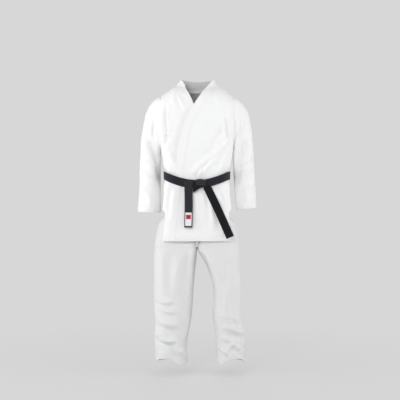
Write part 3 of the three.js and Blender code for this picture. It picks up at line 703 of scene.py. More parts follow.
def panel_rows(fold_height=26):
    """Rows that lie close where the shoulder rounds over and in the turned-up hem."""
    over = SHOULDER_ROUND / (SHOULDER_TOP - ARMPIT_Z)
    shoulder = over * (1 - np.cos(np.linspace(0, np.pi / 2, 22)))
    hem = 2 - np.arange(0, fold_height, HEM_STEP)[::-1] / (ARMPIT_Z - JACKET_HEM_Z)
    return np.concatenate([
        shoulder, np.linspace(over, 1, 50)[1:], np.linspace(1, hem[0], 104)[1:], hem[1:]])


ROWS = panel_rows()
CORNER_Q, CORNER_SHARE = 1.25, 0.62


def panel_columns(u, inner_q, outer_q):
    """Columns keep their place across the front, and only the last few follow the outer edge."""
    near = mix(inner_q, CORNER_Q, u / CORNER_SHARE)
    far = mix(CORNER_Q, outer_q, (u - CORNER_SHARE) / (1 - CORNER_SHARE))
    return np.where(u < CORNER_SHARE, near, far)


print("rows", len(ROWS))

# %% Jacket folds
CHEST_FOLDS = [
    ([(150, -290), (92, -345), (20, -400), (-40, -452)], 16, 8.5),
    ([(112, -360), (60, -405), (0, -462)], 11, 6.5),
    ([(-116, 0), (-122, -36), (-128, -84)], 9, 4),
    ([(-96, -36), (-84, -70), (-66, -108)], 8, 3.5),
    ([(96, -20), (104, -60), (118, -110)], 9, 3.5),
    ([(150, -150), (160, -230), (168, -322)], 9, -11),
    ([(-158, -80), (-166, -170), (-160, -250), (-168, -318)], 9, -10),
    ([(-178, -222), (-154, -240), (-124, -246)], 8, 5),
    ([(-178, -276), (-152, -296), (-122, -300)], 8, 4.5),
    ([(180, -262), (150, -290), (124, -300)], 9, 4.5),
    ([(-170, -300), (-140, -352), (-96, -420)], 15, 5),
    ([(-128, -205), (-142, -240), (-158, -275)], 12, -3.5),
    ([(134, -205), (112, -248), (82, -286)], 14, -4),
    ([(168, -330), (140, -380), (110, -446)], 12, 6),
    ([(-160, -392), (-120, -430), (-84, -470)], 10, 3.5),
    ([(20, -420), (14, -450), (6, -484)], 7, 4),
    ([(52, -408), (40, -440), (26, -480)], 7, 3.5),
    ([(-16, -430), (-12, -452), (-8, -480)], 6, 3),
]
SKIRT_FOLDS = [
    ([(74, -528), (98, -552), (122, -600)], 9, 4.5),
    ([(112, -520), (134, -545), (156, -600)], 9, 4),
    ([(22, -540), (36, -590), (48, -640)], 9, 4.5),
    ([(62, -560), (76, -650), (82, -745)], 13, 6),
    ([(-4, -540), (-2, -600), (4, -700)], 12, 4),
    ([(-110, -520), (-122, -580), (-128, -690)], 13, 5),
    ([(-150, -505), (-162, -560), (-168, -640)], 10, 4),
    ([(128, -620), (136, -690), (132, -770)], 14, 4.5),
]
BACK_FOLDS = [
    ([(-160, -300), (-110, -350), (-50, -420)], 15, 7),
    ([(160, -290), (105, -345), (40, -425)], 15, 7),
    ([(-150, -200), (-120, -290), (-96, -400)], 17, 5.5),
    ([(148, -210), (122, -300), (104, -405)], 17, 5.5),
    ([(-60, -60), (0, -84), (64, -58)], 15, 4),
    ([(-30, -330), (-22, -390), (-18, -430)], 11, 5),
    ([(60, -350), (52, -400), (44, -440)], 11, 5),
    ([(-118, -500), (-132, -600), (-140, -720)], 16, 6),
    ([(112, -500), (124, -610), (130, -740)], 16, 6),
    ([(-40, -490), (-46, -590), (-44, -760)], 17, 6),
    ([(38, -490), (44, -600), (50, -740)], 17, 5.5),
]


print("drawn folds", len(CHEST_FOLDS) + len(SKIRT_FOLDS), "in front,", len(BACK_FOLDS), "behind")


# %% Jacket relief
JACKET_FOLD_STRENGTH = 1.3


def belt_height(q, face):
    """Height of the belt's centre line: it dips to the middle with the square of the distance."""
    x = section(q, face, WAIST_HALF, WAIST_DEPTH, BODY_CORNER)[0]
    middle = 1 - (x / WAIST_HALF) ** 2
    return BELT_SIDE_Z + middle * (BELT_BACK_RISE if face == BACK else -BELT_FRONT_DIP)


def body_outward(points, face):
    """The way out of the body: the gradient of a squarish ellipse, level with the ground."""
    x, y, z = points[..., 0], points[..., 1], points[..., 2]
    width, depth = through(BODY_STOPS, z, 1), through(BODY_STOPS, z, 2)
    sideways = np.sign(x) * np.abs(x / width) ** 5 / width
    forward = face * np.maximum(np.abs(y / depth), 0.25) ** 5 / depth
    out = np.stack([sideways, forward, 0 * z], -1)
    return out / np.linalg.norm(out, axis=-1, keepdims=True)


def jacket_relief(points, face, q):
    """How far the jacket stands off its smooth shape: drawn folds, waves and crumples, nothing under the
    belt, a bell-shaped bulge above and below it, and fine pleats that die away from its edges."""
    x, z = points[..., 0], points[..., 2]
    from_belt = z - belt_height(q, face)
    free = smooth(np.abs(from_belt), 14, 58)
    table = CHEST_FOLDS + SKIRT_FOLDS if face == FRONT else BACK_FOLDS
    drawn = folds(x, z, table, JACKET_FOLD_STRENGTH)
    slow = waves(points, 190, 1.5, 3, (1, 1, 0.6)) + waves(points, 75, 0.6, 4)
    creased = crumple(points, 95, 2.6, 11, (1, 1, 0.8)) + crumple(points, 48, 1.1, 12)
    bulge = 5 * np.exp(-((from_belt - 58) / 34) ** 2) + 3 * np.exp(-((from_belt + 52) / 28) ** 2)
    fading = np.exp(-np.maximum(np.abs(from_belt) - 24, 0) / 42)
    pleats = waves(points * (1, 1, 0.12), 44, 2.2, 21) * fading
    shoulder = smooth(-z, 0, 60)
    side = 1 - 0.6 * smooth(np.abs(q), 2.2, 3)
    return free * side * ((drawn + slow + creased) * shoulder + bulge + pleats)


def relieved(points, face, q, extra=0.0):
    """Moves points of the body out along its outward direction by the jacket's relief."""
    amount = jacket_relief(points, face, q) + extra
    return points + body_outward(points, face) * amount[..., None]


# %% [markdown]
# ## Fronts and back
# Each front is one cut panel from the shoulder to the hem, and the left one closes over the right one.
# The overlap is a true second layer, so the under front is pushed in by a few millimetres where the other
# covers it. The hem is turned up inside and held by two rows of stitches.

# %% Hem
HEM_STITCHES = (7, 18)


def hem_wear_and_shade(above_hem):
    """Where a hem turns grey: wear at its folded edge, and painted shade in the hollows of its stitch rows.
    """
    rows = sum(np.exp(-((above_hem - row) / 2.2) ** 2) for row in HEM_STITCHES)
    return np.clip(smooth(-above_hem, -6, -1) + rows, 0, 1)


def hem_relief(above_hem):
    """Two stitch grooves, and a millimetre more cloth where the hem is turned up."""
    return grooves(above_hem, HEM_STITCHES, 2.2, 1.9) + 1.0 * smooth(-above_hem, -21, -18)


# %% Front edges
def edge_out(side, z):
    """Distance of a front's free edge from the middle, towards its own side."""
    return through(EDGES[side], z)


def band_span(side, z):
    """Inner and outer edge of the lapel band; it keeps its width square to its run."""
    edge = edge_out(side, z)
    slope = (edge_out(side, z + 1) - edge_out(side, z - 1)) / 2
    return edge, edge + LAPEL_WIDTH * np.hypot(1, slope)


def tucked(side, out, z):
    """How far a point of the right front lies inside, under the left front."""
    if side > 0:
        return 0 * out
    top_edge = -through(EDGES[1], z)
    return UNDER * (1 - smooth(out, top_edge + 8, top_edge + 36))


# %% Fronts
def make_front(word):
    """A front: section positions from its free edge to the side seam in every row, then folds and hem."""
    side = SIDES[word]
    u, row = np.meshgrid(np.linspace(0, 1, 112), ROWS)
    z = row_height(row)
    low = band_span(side, np.minimum(z, COLLAR_START_Z))[0] + 2.5
    out = mix(low, NECK_EDGE - 4, smooth(z, COLLAR_START_Z, SHOULDER_TOP))
    q = side * panel_columns(u, section_q(out, z), side_edge_q(row))
    flat = body_row(q, FRONT, row)
    under = tucked(side, side * flat[..., 0], flat[..., 2])
    flat = body_row(q, FRONT, row, under)
    above_hem = (2 - row) * (ARMPIT_Z - JACKET_HEM_Z)
    points = relieved(flat, FRONT, q, hem_relief(above_hem))
    # The hem's grey is wear at its folded edge and painted shade in its stitch rows.
    piece = wall(f"front_panel_{word}", points, CLOTH, CANVAS, wear_and_shade=hem_wear_and_shade(above_hem))
    hang(piece, "uniform", [f"jacket_front_{word}"])
    return piece


for word in SIDES:
    make_front(word)


# %% Back
def make_back():
    """The back: section positions from one side seam to the other, with a groove down the middle seam."""
    u, row = np.meshgrid(np.linspace(-1, 1, 209), ROWS)
    q = np.sign(u) * panel_columns(np.abs(u), 0, side_edge_q(row))

    def neck_drop(x):
        """A quarter ellipse: deepest behind the neck, nothing at the neck's edge."""
        return NECK_BACK_DIP * np.sqrt(np.clip(1 - (x / NECK_EDGE) ** 2, 0, 1))

    flat = body_row(q, BACK, row, 0.0, neck_drop)
    above_hem = (2 - row) * (ARMPIT_Z - JACKET_HEM_Z)
    middle_seam = grooves(flat[..., 0], (0,), 2.2, 1.2)
    points = relieved(flat, BACK, q, hem_relief(above_hem) + middle_seam)
    # The hem's grey is wear at its folded edge and painted shade in its stitch rows.
    piece = wall("back_panel", points, CLOTH, CANVAS, wear_and_shade=hem_wear_and_shade(above_hem))
    return hang(piece, "uniform", ["jacket_back"])


make_back()


# %% [markdown]
# ## The band
# One folded strip edges both fronts and stands behind the neck. It is quilted with rows of stitches along
# its whole length, which is what keeps it flat and stiff. It is one grid: up the left edge, round the
# neck, down the right edge. Round the neck it is a ruled surface between a curve for its upper edge and
# one for its lower.

# %% Band
BAND_ROWS, BAND_COLUMNS = (4, 11.5, 19, 26.5, 34), 49
BAND_THICK, BAND_LIFT = 1.7, 2.0
COLLAR_UPPER = [(66, -44, 18), (84, -6, 44), (82, 24, 45), (58, 50, 43)]
COLLAR_LOWER = [(100, -36, 1), (110, 8, 4), (110, 46, -5), (90, 73, -14)]
COLLAR_UPPER_MIDDLE, COLLAR_LOWER_MIDDLE = (0, 63, 38), (0, 83, -21)
JOIN_Z = (-70, -38, -8)


def lapel_points(side, z, across):
    """Lapel surface: on its front, lifted by the band's own thickness, from the free edge outwards."""
    inner, outer = band_span(side, z)
    out = mix(inner, outer, across)
    flat = body_at(side * out, z, tucked(side, out, z) - BAND_LIFT)
    q = section_q(side * out, flat[..., 2])
    return relieved(flat, FRONT, q)


def neck_strip(across):
    """The band round the neck: straight lines from an upper curve to a lower one, each drawn through the
    ends of the lapels, the given points and their mirror image."""
    ends = {side: lapel_points(side, np.array(JOIN_Z)[:, None], np.array([[0.0, 1.0]])) for side in (1, -1)}
    share = np.linspace(0, 1, 150)[1:-1]
    curves = []
    for column, points, middle in (
            (0, COLLAR_UPPER, COLLAR_UPPER_MIDDLE), (1, COLLAR_LOWER, COLLAR_LOWER_MIDDLE)):
        left, right = ends[1][:, column], ends[-1][:, column]
        mirrored = [(-x, y, z) for x, y, z in points[::-1]]
        curves.append(curve_through(np.array([*left, *points, middle, *mirrored, *right[::-1]]), share))
    return mix(curves[0][:, None], curves[1][:, None], across[None, :, None])


def make_band():
    """The whole band: left lapel, neck and right lapel in one grid, quilted along its normals."""
    across = np.linspace(0, 1, BAND_COLUMNS)
    hem_part = JACKET_HEM_Z + np.linspace(0, 26, 20)
    heights = np.concatenate([hem_part, np.linspace(JACKET_HEM_Z + 29, JOIN_Z[0], 190)])
    a, z = np.meshgrid(across, heights)
    points = np.concatenate([lapel_points(1, z, a), neck_strip(across), lapel_points(-1, z, a)[::-1]])
    normal = outward_normals(points)[0]
    quilt = grooves(across * LAPEL_WIDTH, BAND_ROWS, 0.9, 0.75)
    pillow = 0.3 * np.sin(np.pi * across) ** 0.5
    points = points + normal * (quilt + pillow)[None, :, None]
    wear_and_shade = np.broadcast_to(smooth(np.abs(across - 0.5), 0.44, 0.5), points.shape[:2])
    piece = wall("quilted_band", points, BAND_THICK, CANVAS_BAND, wear_and_shade=wear_and_shade)
    return hang(piece, "uniform", ["lapel_left", "lapel_right", "collar_band"])


make_band()

# %% [markdown]
# ## Sleeves
# A sleeve is a wide tube set into the armhole. It hangs down and out, so the tube runs from the upright
# ring of the armhole seam to the cuff between two curves, one over the arm and one under it. Its folds
# run down from the shoulder and gather inside the elbow.

# %% Sleeve sizes
GAP = 0.4
SLEEVE_OVER = [
    (SHOULDER_HALF + GAP + 0.2, SHOULDER_TOP - SHOULDER_DROP - GAP),
    (215, -60), (240, -87), (264, -130), (281, -200), (294, -360)]
SLEEVE_UNDER = [
    (CHEST_HALF + GAP + 0.4, ARMPIT_Z + 1),
    (187.2, -314), (187.6, -318), (187.6, -326), (187.6, -350), (187.6, -450)]
CUFF = {1: ((307, -622), (203, -632)), -1: ((307, -643), (188, -646))}
ARM_DEPTH, CUFF_DEPTH, ARM_FORWARD = 72, 58, 12
CUFF_STITCHES, CUFF_STEP = (5, 13, 21, 29), 1.4
SLEEVE_LENGTH, SLEEVE_BEND = 600, 200

SLEEVE_FOLDS = {
    1: [
        ([(262, -180), (244, -280), (222, -390), (204, -520)], 19, -10),
        ([(226, -130), (240, -220), (262, -330)], 15, 6),
        ([(288, -330), (262, -372), (222, -398)], 13, 6),
        ([(292, -400), (266, -430), (214, -452)], 12, 5),
        ([(296, -470), (270, -520), (226, -560)], 13, 5),
        ([(205, -150), (212, -230), (208, -310)], 10, 5),
        ([(252, -520), (258, -570), (256, -618)], 10, 3.5),
    ],
    -1: [
        ([(-280, -176), (-256, -260), (-216, -350), (-190, -480)], 19, -10),
        ([(-222, -120), (-244, -210), (-262, -300)], 15, 6),
        ([(-290, -350), (-262, -384), (-210, -404)], 13, 6),
        ([(-292, -420), (-262, -458), (-206, -486)], 12, 5),
        ([(-298, -500), (-268, -552), (-214, -590)], 13, 5),
        ([(-203, -130), (-210, -220), (-204, -305)], 10, 5),
        ([(-250, -540), (-248, -590), (-252, -636)], 10, 3.5),
    ],
}


def sleeve_points(side, u, v):
    """Sleeve ring u round and v down: an ellipse between the over and under curves, squared to the armhole
    seam at its start, each ring a little further forward than the last."""
    over = curve_through([(side * x, 0, z) for x, z in SLEEVE_OVER + [CUFF[side][0]]], v)
    under = curve_through([(side * x, 0, z) for x, z in SLEEVE_UNDER + [CUFF[side][1]]], v)
    centre, reach = (over + under) / 2, (over - under) / 2
    turn = 2 * np.pi * u
    points = centre + reach * np.cos(turn)[..., None]
    head = mix(ARMHOLE_DEPTH, ARM_DEPTH, smooth(v, 0, 0.42))
    depth = mix(head, CUFF_DEPTH, smooth(v, 0.1, 1))
    squared = np.sign(np.sin(turn)) * np.abs(np.sin(turn)) ** mix(0.62, 1, smooth(v, 0, 0.3))
    points[..., 1] = depth * squared - ARM_FORWARD * v
    seam = side * (through(BODY_STOPS, points[..., 2], 1) - CLOTH)
    points[..., 0] = mix(seam, points[..., 0], smooth(v, 0, 0.2))
    return points


# %% Sleeve relief
SLEEVE_FOLD_STRENGTH, BACK_FOLD_SHARE, BACK_FOLD_SHIFT = 1.9, 0.8, 24


def sleeve_relief(side, u, v, flat):
    """Folds, waves and creases of a sleeve, held down at the seam and the cuff. The back of the sleeve has
    the front's folds, weaker and a little lower, and both fade towards its edges."""
    rise = np.sin(2 * np.pi * u)
    share = np.where(rise < 0, 1.0, BACK_FOLD_SHARE) * smooth(np.abs(rise), 0, 0.5)
    z = flat[..., 2] + np.where(rise < 0, 0, BACK_FOLD_SHIFT)
    drawn = folds(flat[..., 0], z, SLEEVE_FOLDS[side], SLEEVE_FOLD_STRENGTH) * share
    slow = waves(flat, 150, 2.0, 31 + side, (1, 1, 0.7)) + waves(flat, 60, 0.6, 41 + side)
    creased = crumple(flat, 85, 3.4, 51 + side) + crumple(flat, 42, 1.3, 61 + side)
    held = smooth(v, 0.01, 0.09) * (1 - 0.75 * smooth(v, 0.93, 1))
    return held * (drawn + slow + creased)


# %% Sleeves
def make_sleeve(word):
    """A sleeve: its smooth tube, moved along its normals by its relief and the cuff's stitch grooves."""
    side = SIDES[word]
    cuff = 1 - np.arange(0, 34, CUFF_STEP)[::-1] / SLEEVE_LENGTH
    v = np.concatenate([np.linspace(0, 0.16, 30), np.linspace(0.16, cuff[0], 150)[1:], cuff[1:]])
    u, v = np.meshgrid(np.arange(132) / 132, v)
    flat = sleeve_points(side, u, v)
    normal = outward_normals(flat, looped=True)[0]
    from_cuff = (1 - v) * SLEEVE_LENGTH
    rows = grooves(from_cuff, CUFF_STITCHES) + 0.9 * smooth(-from_cuff, -33, -30)
    points = flat + normal * (sleeve_relief(side, u, v, flat) + rows)[..., None]
    wear_and_shade = smooth(-from_cuff, -5, -1)
    piece = wall(f"sleeve_cloth_{word}", points, CLOTH, CANVAS, looped=True, wear_and_shade=wear_and_shade)
    start = np.array([side * (CHEST_HALF + 1.5), 0, ARMPIT_Z - 1]) * MM
    bend_run = np.array([side, 0, -1]) * SLEEVE_BEND * MM / math.sqrt(2)
    hang(piece, "uniform", [f"sleeve_head_{word}", f"sleeve_{word}"],
         bends=(f"{word}_sleeve", tuple(start), tuple(start + bend_run)))


for word in SIDES:
    make_sleeve(word)

# %% [markdown]
# ## Trousers
# Loose trousers are two tubes of thin cotton that join above the crotch. Each tube is one grid from the
# waist to the hem: a ring whose corners are squarer on the inner side above the crotch, where the two
# tubes stand against each other, and which opens into a full round leg below it. Above the knee the cloth
# hangs in long vertical folds, and near the foot, where it is too long, it sinks into bands that cross
# the leg.

# %% Trouser sizes
WAISTBAND_TOP_Z, WAISTBAND_HEIGHT, TROUSER_INSET = -436, 40, 10.2
SEAT_HALF, SEAT_DEPTH = 221, 108
CROTCH_Z, CROTCH_DIP, CROTCH_DIP_WIDTH = -812, 0.05, 30
TROUSER_HEM_Z, LEG_TOP_DEPTH, LEG_HEM_DEPTH = -1425, 106, 90
HEM_LIFT, FOOT_AT = 30, {1: 205, -1: 172}
TROUSER_STITCHES, TROUSER_STEP = (6, 14, 22, 30, 38), 1.6
COTTON = 1.3
LEG_BEND_START, LEG_BEND_END = -0.772, -0.95

WAIST_STOPS = [
    (WAISTBAND_TOP_Z, WAIST_HALF - TROUSER_INSET, WAIST_DEPTH - TROUSER_INSET, 50),
    (WAISTBAND_TOP_Z - 80, WAIST_HALF - TROUSER_INSET, WAIST_DEPTH - TROUSER_INSET, 52),
    (VENT_TOP_Z - VENT_RUN, WAIST_HALF - 1, SEAT_DEPTH - 3, 60),
    (mix(VENT_TOP_Z, CROTCH_Z, 0.5), mix(WAIST_HALF, SEAT_HALF, 0.6), SEAT_DEPTH, 80),
    (CROTCH_Z, SEAT_HALF, SEAT_DEPTH, 95),
]
LEG_STOPS = {
    1: [(CROTCH_Z, SEAT_HALF, 0.6), (-836, 221, 0.6), (-868, 222, 18), (-940, 224, 55), (-1040, 227, 84),
        (-1190, 231, 82), (-1270, 252, 96), (TROUSER_HEM_Z, 245, 103)],
    -1: [(CROTCH_Z, SEAT_HALF, 0.6), (-836, 221, 0.6), (-868, 222, 5), (-940, 222, 12), (-1040, 223, 20),
         (-1190, 219, 30), (-1300, 220, 50), (TROUSER_HEM_Z, 214, 50)],
}
LEG_FOLDS = {
    1: [
        ([(136, -1238), (200, -1262), (262, -1300)], 17, 9),
        ([(120, -1296), (176, -1318), (240, -1322)], 14, 6),
        ([(140, -1392), (188, -1340), (246, -1384)], 13, 8),
        ([(104, -1352), (140, -1372), (170, -1412)], 12, 6),
        ([(110, -1180), (160, -1204), (226, -1212)], 19, 5),
        ([(70, -860), (104, -960), (120, -1110)], 22, 6),
        ([(180, -840), (190, -960), (178, -1120)], 24, 6),
        ([(30, -830), (64, -880), (92, -980)], 13, 6),
        ([(148, -1000), (150, -1100), (168, -1210)], 18, 5),
        ([(214, -900), (218, -1040), (214, -1180)], 16, 4),
    ],
    -1: [
        ([(-216, -1098), (-170, -1118), (-118, -1108)], 13, 6),
        ([(-196, -1140), (-156, -1164), (-108, -1166)], 13, 6.5),
        ([(-216, -1196), (-156, -1230), (-90, -1236)], 19, 9),
        ([(-212, -1286), (-160, -1318), (-104, -1316)], 13, 11),
        ([(-124, -1312), (-96, -1366), (-74, -1420)], 13, 8),
        ([(-100, -1362), (-70, -1386), (-48, -1424)], 14, 7),
        ([(-190, -1376), (-160, -1396), (-128, -1420)], 13, 6),
        ([(-20, -830), (-38, -930), (-44, -1100)], 13, 8),
        ([(-90, -850), (-110, -980), (-112, -1090)], 22, 6),
        ([(-180, -840), (-186, -960), (-170, -1080)], 22, 5.5),
        ([(-66, -800), (-66, -825), (-70, -862)], 8, -6),
        ([(-12, -802), (-34, -822), (-24, -856)], 9, 6),
        ([(-60, -1150), (-52, -1240), (-70, -1330)], 14, 5),
    ],
}


def ring_wave(turn, power):
    """Cosine or sine with its flats stretched: its size to a power below one squares the ring's corners."""
    return np.sign(turn) * np.abs(turn) ** power


def leg_points(side, u, z):
    """Trouser ring u round at height z: outer and inner seams give its width, and the ring is a
    superellipse, squarest on the inner side above the crotch. The seat sinks in along the middle."""
    above = smooth(z, CROTCH_Z - 120, CROTCH_Z - 20)
    outer = np.where(z > CROTCH_Z, through(WAIST_STOPS, z, 1), through(LEG_STOPS[side], z, 1))
    inner = np.where(z > CROTCH_Z, 0.6, np.maximum(through(LEG_STOPS[side], z, 2), 0.6))
    leg_depth = mix(LEG_TOP_DEPTH, LEG_HEM_DEPTH, (CROTCH_Z - z) / (CROTCH_Z - TROUSER_HEM_Z))
    depth = np.where(z > CROTCH_Z, through(WAIST_STOPS, z, 2), leg_depth)
    turn = 2 * np.pi * u
    wave, rise = np.cos(turn), np.sin(turn)
    square = mix(2 / 2.4, np.where(wave < 0, 2 / 14, 2 / 3.4), above)
    rise_square = mix(2 / 2.4, 2 / 3.4, above)
    x = mix(inner, outer, 0.5 + 0.5 * ring_wave(wave, square))
    low = smooth(-z, -mix(VENT_TOP_Z, CROTCH_Z, 0.4), -CROTCH_Z)
    low = low * (1 - 0.7 * smooth(-z, -CROTCH_Z, -CROTCH_Z + 160))
    dip = 1 - CROTCH_DIP * low * np.exp(-(x / CROTCH_DIP_WIDTH) ** 2)
    y = depth * ring_wave(rise, rise_square) * dip
    over_foot = np.exp(-((x - FOOT_AT[side]) / 62) ** 4)
    front = smooth(-y / LEG_HEM_DEPTH, 0.1, 0.9)
    lift = HEM_LIFT * smooth(-z, 1240, -TROUSER_HEM_Z) * over_foot * front
    return np.stack([side * x, y, z + lift], -1)


# %% Leg relief
LEG_FOLD_STRENGTH, LEG_BACK_SHARE, LEG_BACK_SHIFT, HALF_GIRTH = 1.7, 0.75, 30, 600
TROUSER_TOP_Z = WAISTBAND_TOP_Z - WAISTBAND_HEIGHT


def leg_folds(side, u, flat):
    """The drawn folds: as on the front, and weaker and a little lower behind."""
    rise = np.sin(2 * np.pi * u)
    share = np.where(rise < 0, 1.0, LEG_BACK_SHARE) * smooth(np.abs(rise), 0.0, 0.55)
    z = flat[..., 2] + np.where(rise < 0, 0, LEG_BACK_SHIFT)
    return folds(flat[..., 0], z, LEG_FOLDS[side], LEG_FOLD_STRENGTH) * share


def leg_slack(side, flat, z):
    """Long waves that halve towards the foot, short ones, and bands across the leg that grow towards it."""
    low = smooth(-z, 1000, 1260)
    long_waves = waves(flat, 210, 3.0, 71 + side, (1, 1, 0.35)) * (1 - 0.5 * low)
    short_waves = waves(flat, 80, 1.1, 81 + side, (1, 1, 0.5))
    bands = crumple(flat, 120, 6.5, 91 + side, (0.5, 0.5, 1.3)) * (0.25 + low)
    return long_waves + short_waves + bands + crumple(flat, 55, 2.0, 95 + side)


def leg_free(side, flat, z):
    """How freely the cloth may move: not at the waist or where the legs meet, and less at the hem."""
    inner = smooth(side * flat[..., 0], 4, 26)
    meeting = np.where(z > CROTCH_Z, inner, mix(inner, 1, smooth(-z, 812, 900)))
    calm = 1 - 0.6 * smooth(TROUSER_HEM_Z - z, -46, -4)
    return smooth(TROUSER_TOP_Z - z, 60, 360) * meeting * calm


def leg_sewing(u, flat, z):
    """Hem stitches and turn-up, the side seam's groove, and gathers that fade below the waistband."""
    from_hem = z - TROUSER_HEM_Z
    rows = grooves(from_hem, TROUSER_STITCHES) + 0.9 * smooth(-from_hem, -43, -40)
    seam_distance = np.abs((u + 0.5) % 1 - 0.5) * HALF_GIRTH
    side_seam = grooves(seam_distance, (0,), 2.6, 1.0) * smooth(-z, 620, 700)
    gather = waves(flat * (1, 1, 0.1), 26, 1.4, 99) * np.exp(-(TROUSER_TOP_Z - z) / 60)
    return rows + side_seam + gather


# %% Legs
def make_leg(word):
    """A leg from the waistband to the hem: its smooth tube, moved along its normals by folds and sewing."""
    side = SIDES[word]
    hem = TROUSER_HEM_Z + np.arange(0, 44, TROUSER_STEP)
    z = np.concatenate([
        np.linspace(TROUSER_TOP_Z - 1, -760, 60), np.linspace(-760, hem[-1], 168)[1:], hem[::-1][1:]])
    u, z = np.meshgrid(np.arange(148) / 148, z)
    flat = leg_points(side, u, z)
    normal = outward_normals(flat, looped=True)[0]
    slack = leg_folds(side, u, flat) + leg_slack(side, flat, z)
    amount = leg_free(side, flat, z) * slack + leg_sewing(u, flat, z)
    points = flat + normal * amount[..., None]
    wear_and_shade = smooth(TROUSER_HEM_Z - z, -6, -1)
    piece = wall(f"trouser_leg_{word}", points, COTTON, TWILL, looped=True, wear_and_shade=wear_and_shade)
    nodes = [f"leg_{word}", f"hip_panel_{word}", {1: "trouser_front", -1: "trouser_back"}[side]]
    hang(piece, "uniform", nodes,
         bends=(f"{word}_leg", (0, 0, LEG_BEND_START), (0, 0, LEG_BEND_END)))


for word in SIDES:
    make_leg(word)

# %% [markdown]
# ## Belt and knot
# The belt is one long strip of black cotton, stitched lengthwise in many close rows and wound twice round
# the waist. The second turn lies on the first. It is tied in a flat knot: one end passes under both turns
# and the ends cross, so the knot is a strap folded over a core, with both ends hanging from it.

# %% Belt sizes
BAND_PROUD, FACING, LINING_GAP = 0.9, 1.2, 0.8
TIE_NEAR = -(BAND_PROUD + GAP + FACING)
INNER_WRAP = TIE_NEAR - LINING_GAP - BELT_THICK
OUTER_WRAP = INNER_WRAP - GAP - BELT_THICK
TAIL_NEAR = OUTER_WRAP - GAP - BELT_THICK
BELT_ROWS, BELT_COLUMNS = np.linspace(2.6, BELT_WIDTH - 2.6, 9), 45
STRAP_REACH = 100
KNOT_LEFT, KNOT_CLEARANCE = -21, 3
TAIL_RIGHT, TAIL_LEFT = 232, 280
TAIL_HELD, TAIL_BEND, TAIL_STEP, END_STITCHES = 26, 30, 1.6, (4, 9, 14)
BELT_FRONT = BELT_SIDE_Z - BELT_FRONT_DIP


def belt_quilt(across):
    """Sewn belt relief: grooves at the stitch rows, and edges that round away."""
    distance = across * BELT_WIDTH
    edge = np.minimum(distance, BELT_WIDTH - distance)
    return grooves(distance, BELT_ROWS, 0.8, 0.5) - 1.1 * (1 - smooth(edge, 0, 2.2))


# %% Wraps
def ring_place(u):
    """Section position and face, u round a closed ring: over the front up to a half, then over the back."""
    behind = u >= 0.5
    return np.where(behind, 3 - 12 * (u - 0.5), 12 * u - 3), np.where(behind, BACK, FRONT)


def make_wrap(name, near, drop, seed, nodes):
    """A turn of the belt: a closed strip on the belt line, slipping and leaning a little by slow waves."""
    u, across = np.meshgrid(np.arange(420) / 420, np.linspace(0, 1, BELT_COLUMNS))
    q, face = ring_place(u)
    turn = np.stack([np.cos(2 * np.pi * u), np.sin(2 * np.pi * u), 0 * u], -1) * 160
    slip = waves(turn, 260, 1.6, seed) + drop
    belt_line = np.where(face == BACK, belt_height(q, BACK), belt_height(q, FRONT))
    height = belt_line - (across - 0.5) * BELT_WIDTH
    points = np.where(
        (face == BACK)[..., None],
        body_section(q, BACK, height, near), body_section(q, FRONT, height, near))
    points[..., 2] += slip
    normal = outward_normals(points, looped=True)[0]
    lean = waves(turn, 150, 0.9, seed + 1) + 0.8 * (1 - across)
    points = points + normal * (belt_quilt(across) + lean)[..., None]
    wear_and_shade = smooth(np.abs(across - 0.5), 0.44, 0.5)
    piece = wall(name, points, BELT_THICK - 0.4, SATIN, looped=True, wear_and_shade=wear_and_shade)
    hang(piece, "uniform", nodes)


make_wrap("belt_turn_inner", INNER_WRAP, -1.6, 121, ["belt_wrap_inner"])
make_wrap("belt_turn_outer", OUTER_WRAP, 0.8, 125, ["belt_wrap_outer"])


# %% Hanging ends
def strap_points(path, across, v, width, near):
    """A strap across its path: the path gives its middle line, the strap lies square to it, and its depth
    is that of the skirt in front of which it hangs."""
    step = 1e-3
    x, z = path(v)
    x1, z1 = path(v - step)
    x2, z2 = path(v + step)
    length = np.hypot(x2 - x1, z2 - z1)
    side = (across - 0.5) * width
    px, pz = x + side * (z1 - z2) / length, z + side * (x2 - x1) / length
    depth = body_at(np.minimum(px, STRAP_REACH), pz, near)[..., 1]
    return np.stack([px, depth, pz], -1)


def make_tail(word, path, length, curl, look):
    """A hanging end: a strap along its path, lifted off the skirt by a slow curve and twisted by curl."""
    rows = int(length / TAIL_STEP)
    across, v = np.meshgrid(np.linspace(0, 1, BELT_COLUMNS), np.linspace(0, 1, rows))
    points = strap_points(path, across, v, BELT_WIDTH, TAIL_NEAR)
    run = v * length
    twist = (across - 0.5) * curl * 10 * np.sin(np.pi * np.clip(v, 0, 1)) ** 2
    lift = 1.5 * v + 5 * v ** 3 + 2.2 * np.sin(2.3 * np.pi * v) * v + twist
    lift = lift * smooth(v, 0, 0.2)
    end_rows = grooves(length - run, END_STITCHES, 1.0, 0.5)
    points[..., 1] -= lift + belt_quilt(across) + end_rows
    wear_and_shade = np.maximum(smooth(np.abs(across - 0.5), 0.44, 0.5), smooth(v, 0.985, 1))
    piece = wall(f"belt_end_{word}", points, BELT_THICK - 0.4, look, wear_and_shade=wear_and_shade)
    held_z = points[..., 2].max() - TAIL_HELD
    hang(piece, "uniform", [f"belt_tail_{word}"],
         bends=(f"{word}_tail", (0, 0, held_z * MM), (0, 0, (held_z - TAIL_BEND) * MM)))
    return points


def right_path(v):
    """Straight down beside the knot, swaying a millimetre or two."""
    x = KNOT_LEFT - KNOT_CLEARANCE - BELT_WIDTH / 2 + 2 * np.sin(3 * v)
    return x, BELT_FRONT + 12 - TAIL_RIGHT * v


def left_path(v):
    """Down and out from under the knot, in a slight arc."""
    x = 50 + 118 * v + 10 * v * (1 - v)
    return x, BELT_FRONT - BELT_WIDTH / 2 + 6 - (TAIL_LEFT * 0.885 + 8) * v


